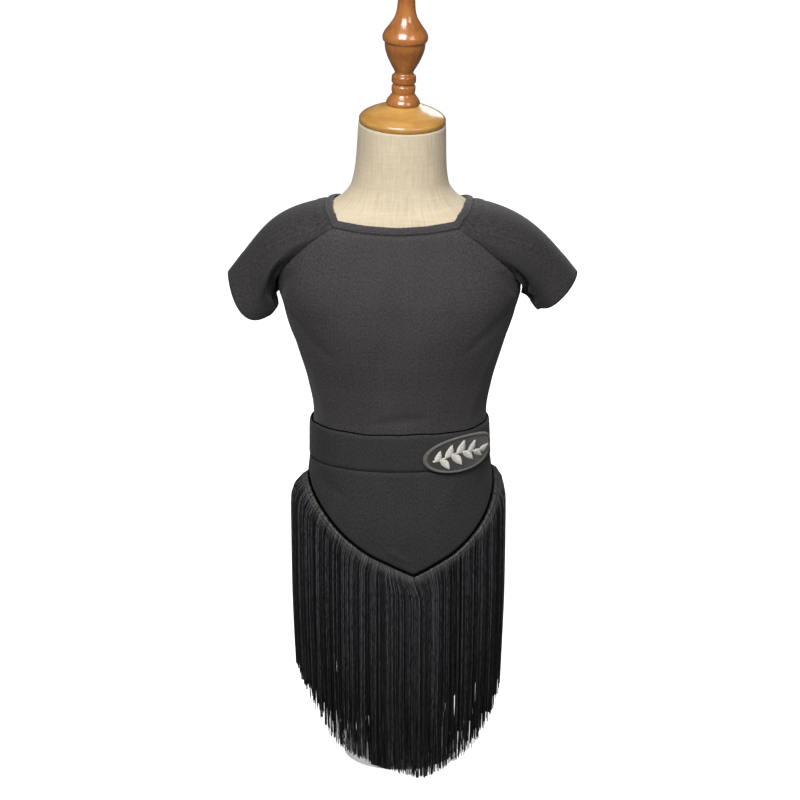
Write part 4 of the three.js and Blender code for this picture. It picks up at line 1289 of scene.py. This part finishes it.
def tubes(at, total, thread, row, radius, sides, **marks):
    """Joins points into curves and gives them a round section, marked from 0 to 1 round it."""
    tree = at.tree
    points = wire(tree, "GeometryNodePoints", {"Count": total, "Position": at})
    for name, value in marks.items():
        points = stored(points, name, value)
    inputs = {"Points": points, "Curve Group ID": thread, "Weight": row}
    lines = wire(tree, "GeometryNodePointsToCurves", inputs)
    section = {"Resolution": sides, "Radius": radius}
    ring = wire(tree, "GeometryNodeCurvePrimitiveCircle", section)
    ring = stored(ring, "around", wire(tree, "GeometryNodeSplineParameter", None, "Factor"))
    inputs = {"Curve": lines, "Profile Curve": ring, "Fill Caps": True}
    return wire(tree, "GeometryNodeCurveToMesh", inputs)


# %% [markdown]
# ## The fringe
# Each cord takes its own place along the braid, its own length, depth in the bundle and sway.
# Neighbours sway alike, because they share one noise field that runs right round the skirt, so
# they gather into locks with thin gaps between, more so lower down. At the point of the V the
# cords leave the braid at a slant, square to its right side, before they hang straight.

# %% The tree that hangs strands
FIELD_RADIUS = 15.0  # the noise is read on a cylinder this wide, so that it closes on itself
GUIDE_MARGIN = 0.05  # the guide sheet runs this share past its quarter on both sides


def strand_tree():
    tree, given = new_tree(
        "Hanging strands", Geometry="Guide", Int="Strands, Points each, Seed", Material="Cord",
        Float="Radius, First turn, Last turn, Sway, Bundle depth, Uneven ends, Length",
    )
    strands, seed, radius = given["Strands"], given["Seed"], given["Radius"]
    strand, row, share = count_along(tree, given["Points each"])
    down = share**1.45
    u = (strand + random_value(strand, -0.2, 1.2, seed, 1)) / strands

    turn = given["First turn"] + u * (given["Last turn"] - given["First turn"])
    field_x, field_y = (turn.math(kind) * FIELD_RADIUS for kind in ("SINE", "COSINE"))
    lock = noise(joined(field_x, field_y, down * 0.9), 1.0, 3.0, 0.62)
    own = noise(joined(strand * 3.7, down * 2.6, seed), 1.0, 1.0)
    sway = ((lock - 0.5) + (own - 0.5) * 0.4) * given["Sway"] * down**3.0
    u = (u + sway + GUIDE_MARGIN) / (1 + 2 * GUIDE_MARGIN)
    short = random_value(strand, 0, 1, seed, 2) ** 2.2 * given["Uneven ends"]
    v = down * (short * -1 + 1)

    layer = random_value(strand, -1, 0.12, seed, 3)
    depth = layer * ramp(down, 0.0, 0.16, 0.45, 1.0) * given["Bundle depth"]
    at = place_on_guide(given["Guide"], joined(u, v), depth)
    marks = {"strand": random_value(strand, 0, 1, seed, 4), "along": v * given["Length"]}
    total = strands * given["Points each"]
    cords = tubes(at, total, strand, row, radius, 4, **marks)
    uv = joined(named(tree, "around") * (radius * math.tau), named(tree, "along"))
    end_tree(stored(cords, "UVMap", uv, "FLOAT2", "CORNER"), given["Cord"])
    return tree


# %% Make the four quarters of the fringe
QUARTERS = {
    "fringe_front_right": (-90, 0),
    "fringe_front_left": (0, 90),
    "fringe_back_left": (90, 180),
    "fringe_back_right": (180, 270),
}
ROOT_GAP = 0.0008
ROOT_HIDDEN = 0.0018  # how far the loops stay tucked in under the yoke's edge
SLANT_TURN = 6.0  # degrees that the cords lean over as they leave the braid at the point
SLANT_WIDTH = 17
SLANT_FALL = 0.030
GUIDE_OVERLAP = 10  # degrees that are measured past each quarter, for the margin
ROOT_SWELL = 0.0073  # how far the loops curl out over the braid
SWELL_LENGTH = 0.006
LEAVES_YOKE = (0.003, 0.020)  # how far down the cords swing from the yoke out to the curtain
MEAN_LENGTH = 0.232
LONGEST_SHARE = 1.025  # the longest cords, against the line that the ends follow


def fringe_guide(name, start, end, columns=72, rows=56):
    fine = np.linspace(start - GUIDE_OVERLAP, end + GUIDE_OVERLAP, 400)
    line = curtain_point(0.2, skirt_angle(fine))
    run = np.concatenate([[0], np.cumsum(np.linalg.norm(np.diff(line, axis=0), axis=-1))])
    from_run, to_run = np.interp([start, end], fine, run)
    share = np.linspace(-GUIDE_MARGIN, 1 + GUIDE_MARGIN, columns)
    turn = np.interp(mix(from_run, to_run, share), run, fine)[None, :]
    v = np.linspace(0, 1, rows)[:, None] ** 1.6
    in_front, folded = fold_turn(turn)
    slant = np.where(in_front, SLANT_TURN, 0) * np.exp(-((folded / SLANT_WIDTH) ** 2))
    root = turn - slant
    fall = v * fringe_length(turn) * LONGEST_SHARE
    level = np.maximum(v_level(root) - ROOT_GAP - fall, FRINGE_CLEAR_Z)
    angle = skirt_angle(mix(root, turn, smoothstep(0, SLANT_FALL, fall)))
    swell = np.sin(np.pi / 2 * np.clip((fall - ROOT_HIDDEN) / SWELL_LENGTH, 0, 1)) ** 0.8
    near = lifted_point(level, angle, SKIRT_LIFT + 0.0003 + ROOT_SWELL * swell)
    far = curtain_point(level, angle)
    points = mix(near, far, smoothstep(*LEAVES_YOKE, fall)[..., None])
    return guide_mesh(name, [points], v[:, 0])


hanging_strands = strand_tree()
fringes = {}
for number, (name, (start, end)) in enumerate(QUARTERS.items()):
    fringes[name] = grow(
        name + "_strands",
        fringe_guide(name + "_guide", start, end),
        hanging_strands,
        {
            "Strands": 800, "Points each": 14, "Radius": 0.00044, "Sway": 0.078,
            "First turn": math.radians(start), "Last turn": math.radians(end),
            "Bundle depth": 0.0064, "Uneven ends": 0.17, "Length": MEAN_LENGTH,
            "Seed": 11 + 10 * number, "Cord": fringe_cord,
        },
    )


# %% Make the braid that the strands hang from
BRAID_HEIGHT = 0.008


def braid(name, start, end, columns=48, rows=7):
    v = np.linspace(0, 1, rows)[:, None]
    turn = np.linspace(start, end, columns)
    level = v_level(turn) - ROOT_GAP - BRAID_HEIGHT * v
    lift = SKIRT_LIFT + 0.0010 - 0.0012 * smoothstep(0.2, 0.5, v)
    angle = skirt_angle(turn)
    # Its UV height is 0, so the cord finish paints the braid black all over: painted shadow in the
    # groove under the yoke's edge.
    uv = grid_of(angle * BODY_ROUND, 0 * level)
    return body_wall(name, level, angle, lift, SKIRT_LIFT - 0.0006, uv, fringe_cord)


braids = {name: braid(name + "_braid", *span) for name, span in QUARTERS.items()}

# %% [markdown]
# ## Stitches and the patch
# Every other thread on the dress lies on cloth: it comes up, crosses and goes down again. One
# tree makes them all. With its cover at 0 the threads follow one another as a row of stitches,
# and with its cover at 1 each one spans the guide from side to side, as satin stitch does. The
# patch is an oval of felt with an overlocked rim, and it carries a plain sprig of leaves.

# %% The tree that lays threads
def thread_tree():
    tree, given = new_tree(
        "Laid threads", Geometry="Guide", Int="Islands, Threads, Points each, Seed",
        Float="Radius, Slant, Cover, Rise", Material="Thread",
    )
    threads = given["Threads"]
    thread, row, share = count_along(tree, given["Points each"])
    island = ((thread + 0.5) / threads).math("FLOOR")
    within = thread - island * threads
    off_middle = share - 0.5
    step = within + random_value(thread, 0.38, 0.62, given["Seed"], 1)
    step = step + off_middle * given["Slant"]
    u = step / threads * (1 - 2 * EDGE_SHARE) + EDGE_SHARE
    u = u.math("MAXIMUM", 0.001).math("MINIMUM", 0.999)
    u = (u + island) / given["Islands"]
    v = off_middle * given["Cover"] + 0.5
    height = (share * math.pi).math("SINE") ** 0.7 * given["Rise"]
    at = place_on_guide(given["Guide"], joined(u, v), height)
    total = threads * given["Islands"] * given["Points each"]
    end_tree(tubes(at, total, thread, row, given["Radius"], 5), given["Thread"])
    return tree


laid_threads = thread_tree()


def lay_threads(name, guide, material, threads, radius, rise, slant, cover=1.0, each=6, islands=1):
    values = {
        "Islands": islands, "Threads": threads, "Points each": each, "Radius": radius,
        "Slant": slant, "Cover": cover, "Rise": rise, "Seed": 5, "Thread": material,
    }
    return grow(name, guide, laid_threads, values)


# %% Stitch the binding and the sleeve hems
STITCH_STRIP = 0.0004  # half the width of the guide under a row of stitches
STITCH_RADIUS = 0.00027
STITCH_RISE = 0.00045
STITCH_FILL = 0.66  # how much of the pitch shows as thread


def stitch_row(name, rings, threads):
    guide = ring_guide(name + "_guide", rings)
    row = (threads, STITCH_RADIUS, STITCH_RISE, STITCH_FILL)
    return lay_threads(name, guide, black_thread, *row, cover=0.0, each=5)


def grid_row(grid, share):
    """Points across a grid, at a share of the way down its rows."""
    at = share * (len(grid) - 1)
    j = int(at)
    return mix(grid[j], grid[j + 1], at - j)


round_neck = np.arange(-180, 180, 1.0)
binding_rows = 1 - (TOPSTITCH_UP + np.array([STITCH_STRIP, -STITCH_STRIP])) / BINDING_WIDTH
binding_stitches = stitch_row("binding_stitches", binding_face(round_neck, binding_rows)[1], 176)
hem_share = 1 - (HEM_DEPTH + np.array([STITCH_STRIP, -STITCH_STRIP])) / SLEEVE_LONG
hem_stitches = {}
for name, face in sleeve_faces.items():
    rings = [grid_row(face, share) for share in hem_share]
    hem_stitches[name] = stitch_row(name + "_stitches", rings, 92)

# %% Make the patch
PATCH_TURN = 48
PATCH_LEVEL = 0.363
PATCH_HALF_LONG = 0.046
PATCH_HALF_TALL = 0.019
PATCH_TILT = math.radians(5)
PATCH_SEAT = SKIRT_LIFT + BAND_THICK + 0.0008
PATCH_TOP = PATCH_SEAT + 0.0018

# How the felt's section runs, from the middle of its underside out and over to the middle of
# its face: share of the oval's size, and lift above the bust.
FELT_SECTION = [
    (0.06, PATCH_SEAT), (0.50, PATCH_SEAT), (0.95, PATCH_SEAT), (0.99, PATCH_SEAT + 0.0004),
    (1.00, PATCH_SEAT + 0.0009), (0.99, PATCH_TOP - 0.0003), (0.97, PATCH_TOP), (0.90, PATCH_TOP),
    (0.70, PATCH_TOP + 0.0002), (0.45, PATCH_TOP + 0.0003), (0.20, PATCH_TOP + 0.0003),
    (0.06, PATCH_TOP + 0.0003),
]


def patch_point(long, tall, lift):
    """A point on the patch, from its middle: along it, up it, and above the bust."""
    across = long * math.cos(PATCH_TILT) - tall * math.sin(PATCH_TILT)
    upward = long * math.sin(PATCH_TILT) + tall * math.cos(PATCH_TILT)
    centre = lifted_point(PATCH_LEVEL, math.radians(PATCH_TURN), PATCH_SEAT)
    turned = math.radians(PATCH_TURN) + across / math.hypot(centre[0], centre[1])
    return lifted_point(PATCH_LEVEL + upward, turned, lift)


def patch_ring(share, lift, around=120):
    angle = np.arange(around) * math.tau / around
    return patch_point(
        PATCH_HALF_LONG * share * np.cos(angle), PATCH_HALF_TALL * share * np.sin(angle), lift
    )


def felt_patch():
    rings = np.array([patch_ring(share, lift) for share, lift in FELT_SECTION])
    run = np.linspace(0, 0.045, len(rings)).tolist()
    return stacked_solid("patch_felt", rings, run, 0.2, badge_felt)


RIM_SECTION = [
    (0.905, PATCH_TOP + 0.0001), (0.945, PATCH_TOP + 0.0005), (0.985, PATCH_TOP + 0.0003),
    (1.012, PATCH_TOP - 0.0005), (1.014, PATCH_SEAT + 0.0003),
]
patch = felt_patch()
patch_outward = unit(patch_point(0.0, 0.0, PATCH_TOP) - patch_point(0.0, 0.0, PATCH_SEAT))
rim_rings = [patch_ring(share, lift, 240) for share, lift in RIM_SECTION]
patch_rim = lay_threads(
    "patch_rim", ring_guide("patch_rim_guide", rim_rings, patch_outward), grey_thread,
    threads=430, radius=0.00030, rise=0.00030, slant=1.5, each=8,
)

# %% Embroider the sprig
# A row for each leaf: where it leaves the stem, the way it points, its length and its width.
LEAF_ROWS = [
    (0.06, 56, 0.0130, 0.0068), (0.16, -54, 0.0145, 0.0074), (0.27, 54, 0.0160, 0.0080),
    (0.39, -52, 0.0165, 0.0082), (0.51, 50, 0.0160, 0.0080), (0.63, -48, 0.0155, 0.0076),
    (0.75, 46, 0.0140, 0.0070), (0.86, -42, 0.0125, 0.0064), (1.00, 4, 0.0150, 0.0072),
]
STEM_FROM = -0.036
STEM_LENGTH = 0.058
STEM_WAVE = 0.0022
EMBROIDERY_LIFT = PATCH_TOP + 0.0003


def stem_place(share):
    return STEM_FROM + STEM_LENGTH * share, STEM_WAVE * np.sin(math.tau * (share - 0.3))


def leaf_patch(stem_share, heading, length, width, columns=14):
    """Two edges of a leaf, which meet at both its tips."""
    along = np.linspace(0, 1, columns)
    half = width / 2 * np.sin(np.pi * along**0.8) ** 0.8 + 0.0001
    bend = 0.10 * length * np.sin(np.pi * along) * (1 if heading < 0 else -1)
    x0, y0 = stem_place(stem_share)
    direction = math.radians(heading)
    rows = []
    for side in (1, -1):
        forward, sideways = along * length, bend + side * half
        x = x0 + forward * math.cos(direction) - sideways * math.sin(direction)
        y = y0 + forward * math.sin(direction) + sideways * math.cos(direction)
        rows.append(patch_point(x, y, EMBROIDERY_LIFT))
    return np.array(rows)


def stem_patch(half=0.0011, columns=60):
    x, y = stem_place(np.linspace(0, 1.0, columns))
    return np.array([patch_point(x, edge, EMBROIDERY_LIFT) for edge in (y + half, y - half)])


leaves = lay_threads(
    "patch_leaves", guide_mesh("leaf_guide", [leaf_patch(*row) for row in LEAF_ROWS]),
    silver_thread, threads=40, radius=0.00026, rise=0.0010, slant=4.0, each=7,
    islands=len(LEAF_ROWS),
)
stem = lay_threads(
    "patch_stem", guide_mesh("stem_guide", [stem_patch()]), silver_thread,
    threads=150, radius=0.00022, rise=0.0007, slant=2.0,
)

# %% [markdown]
# ## Each piece on the frame, and the size it was cut to
# Every new piece rides on the part's one body, and where it stands for a solid, that solid is
# hidden. For each cloth piece, the area it was cut to is printed beside its area as worn. Stretch
# jersey is cut a little smaller than it is worn, so the areas below are some 5% under what the
# walls measure on the bust.

# %% Tie the pieces to the frame
PIECES = [
    (top_front, "bodice_front", "top_jersey"), (top_back, "bodice_back", "top_jersey"),
    (sleeve_right, "sleeve_right", "top_jersey"), (sleeve_left, "sleeve_left", "top_jersey"),
    (binding, "neck_binding", "top_jersey"), (band, "waistband", "skirt_jersey"),
    (yoke_front, "yoke_front", "skirt_jersey"), (yoke_back, "yoke_back", "skirt_jersey"),
    (tail, "gusset_tail", "top_jersey"), (strap, "gusset_strap", "top_jersey"),
    (patch, "badge", "badge_felt"), (bust_piece, "form_body", "linen"),
    (cap, "neck_cap", "pale_wood"), (finial, "finial", "brown_wood"),
    (post, "form_post", "white_paint"), (plate, "form_base", "white_paint"),
]
PIECES += [(piece, name, "fringe_cord") for name, piece in fringes.items()]
TRIMMINGS = [(piece, "fringe_cord") for piece in (band_shadow_line, *braids.values())]
TRIMMINGS += [(piece, "top_jersey") for piece in (binding_stitches, *hem_stitches.values())]
TRIMMINGS += [(piece, "badge_felt") for piece in (patch_rim, leaves, stem)]
for piece, node, slot in PIECES:
    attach(piece, "root")
    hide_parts(node)
for piece, slot in TRIMMINGS:
    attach(piece, "root")
print("pieces on the frame:", len(PIECES) + len(TRIMMINGS))

front_fringe = [d[n] for d in (fringes, braids) for n in QUARTERS if "front" in n]
back_fringe = [d[n] for d in (fringes, braids) for n in QUARTERS if "back" in n]

# A row for each piece: the flat width and length, the flat area where the cut isn't a
# rectangle, how it is held, and what goes with it.
SHEETS = [
    (top_front, (0.310, 0.260), 0.0670, "stretched", []),
    (top_back, (0.315, 0.264), 0.0683, "stretched", []),
    (sleeve_right, (0.265, 0.135), 0.0222, "hung", [hem_stitches["sleeve_right"]]),
    (sleeve_left, (0.265, 0.135), 0.0222, "hung", [hem_stitches["sleeve_left"]]),
    (binding, (0.0105, 0.480), None, "stretched", [binding_stitches]),
    (band, (0.042, 0.530), None, "stretched", [band_shadow_line]),
    (yoke_front, (0.300, 0.112), 0.0187, "stretched", front_fringe),
    (yoke_back, (0.305, 0.112), 0.0193, "stretched", back_fringe),
    (tail, (0.080, 0.205), None, "hung", []),
    (strap, (0.0185, 0.062), None, "hung", []),
    (patch, (0.092, 0.038), 0.00275, "laid", [patch_rim, leaves, stem]),
]
for piece, flat, area, held, pieces_on_it in SHEETS:
    rests = [band] if piece == patch else [bust_piece]
    worn = sum(p.area for p in piece.data.polygons) / 2
    print(piece.name, "worn area", round(worn, 5), "cut", area or round(flat[0] * flat[1], 5))

# %% [markdown]
# ## Floor and light
# The photo is a cut-out on white, and the dress in it is lit from above the camera and a little
# from the left, with dark sides. A large softbox does that. The pale floor glows a little, so
# that it stays white, and it sends no light back up, which would wash out the black cloth.

# %% Stage
LIGHT_AIM = Vector((0, 0, 0.42))
FLOOR_GLOW = 0.95
AMBIENT = 0.10
FLOOR_HALF = 150.0  # wide enough to meet the white background at eye level

# A row for each main light: its name, its place, its width and height, and its power.
SOFTBOXES = [
    ("key_softbox", (-0.28, -1.10, 1.58), 0.8, 0.6, 23),
    ("fill_softbox", (1.5, -1.9, 1.9), 1.0, 1.0, 16),
    ("top_softbox", (-0.1, -0.2, 2.5), 1.2, 1.0, 2.5),
    ("back_softbox", (0.5, 2.3, 1.8), 1.2, 1.2, 22),
]


def white_floor():
    colours = {"Base_Color": (0.9, 0.9, 0.9, 1), "Emission_Color": (1, 1, 1, 1)}
    material = new_finish("floor_white", 0.9, Emission_Strength=FLOOR_GLOW, **colours)[0]
    signs = ((-1, -1), (1, -1), (1, 1), (-1, 1))
    corners = [(x * FLOOR_HALF, y * FLOOR_HALF, 0) for x, y in signs]
    mesh = bpy.data.meshes.new("floor")
    mesh.from_pydata(corners, [], [(0, 1, 2, 3)])
    mesh.materials.append(material)
    floor = placed("floor", mesh)
    floor.visible_diffuse = False
    floor.visible_glossy = False


def soft_light(name, place, width, height, power):
    data = bpy.data.lights.new(name, "AREA")
    data.shape = "RECTANGLE"
    data.size = width
    data.size_y = height
    data.energy = power
    light = placed(name, data)
    light.location = place
    light.rotation_euler = (LIGHT_AIM - Vector(place)).to_track_quat("-Z", "Y").to_euler()
    return light


white_floor()
for row in SOFTBOXES:
    soft_light(*row)

# The stand is hidden from the main lights by the fringe, so two low ones light it alone.
stand = bpy.data.collections.new("stand")
for piece in (post, plate):
    stand.objects.link(piece)
for name, place in (("stand_front", (-0.9, -1.2, 0.8)), ("stand_back", (0.9, 1.2, 0.8))):
    soft_light(name, place, 0.6, 0.6, 18).light_linking.receiver_collection = stand
world = bpy.data.worlds.new("studio")
world.use_nodes = True
background = world.node_tree.nodes["Background"].inputs
background["Color"].default_value = (1, 1, 1, 1)
background["Strength"].default_value = AMBIENT
bpy.context.scene.world = world
bpy.context.scene.view_settings.view_transform = "Standard"
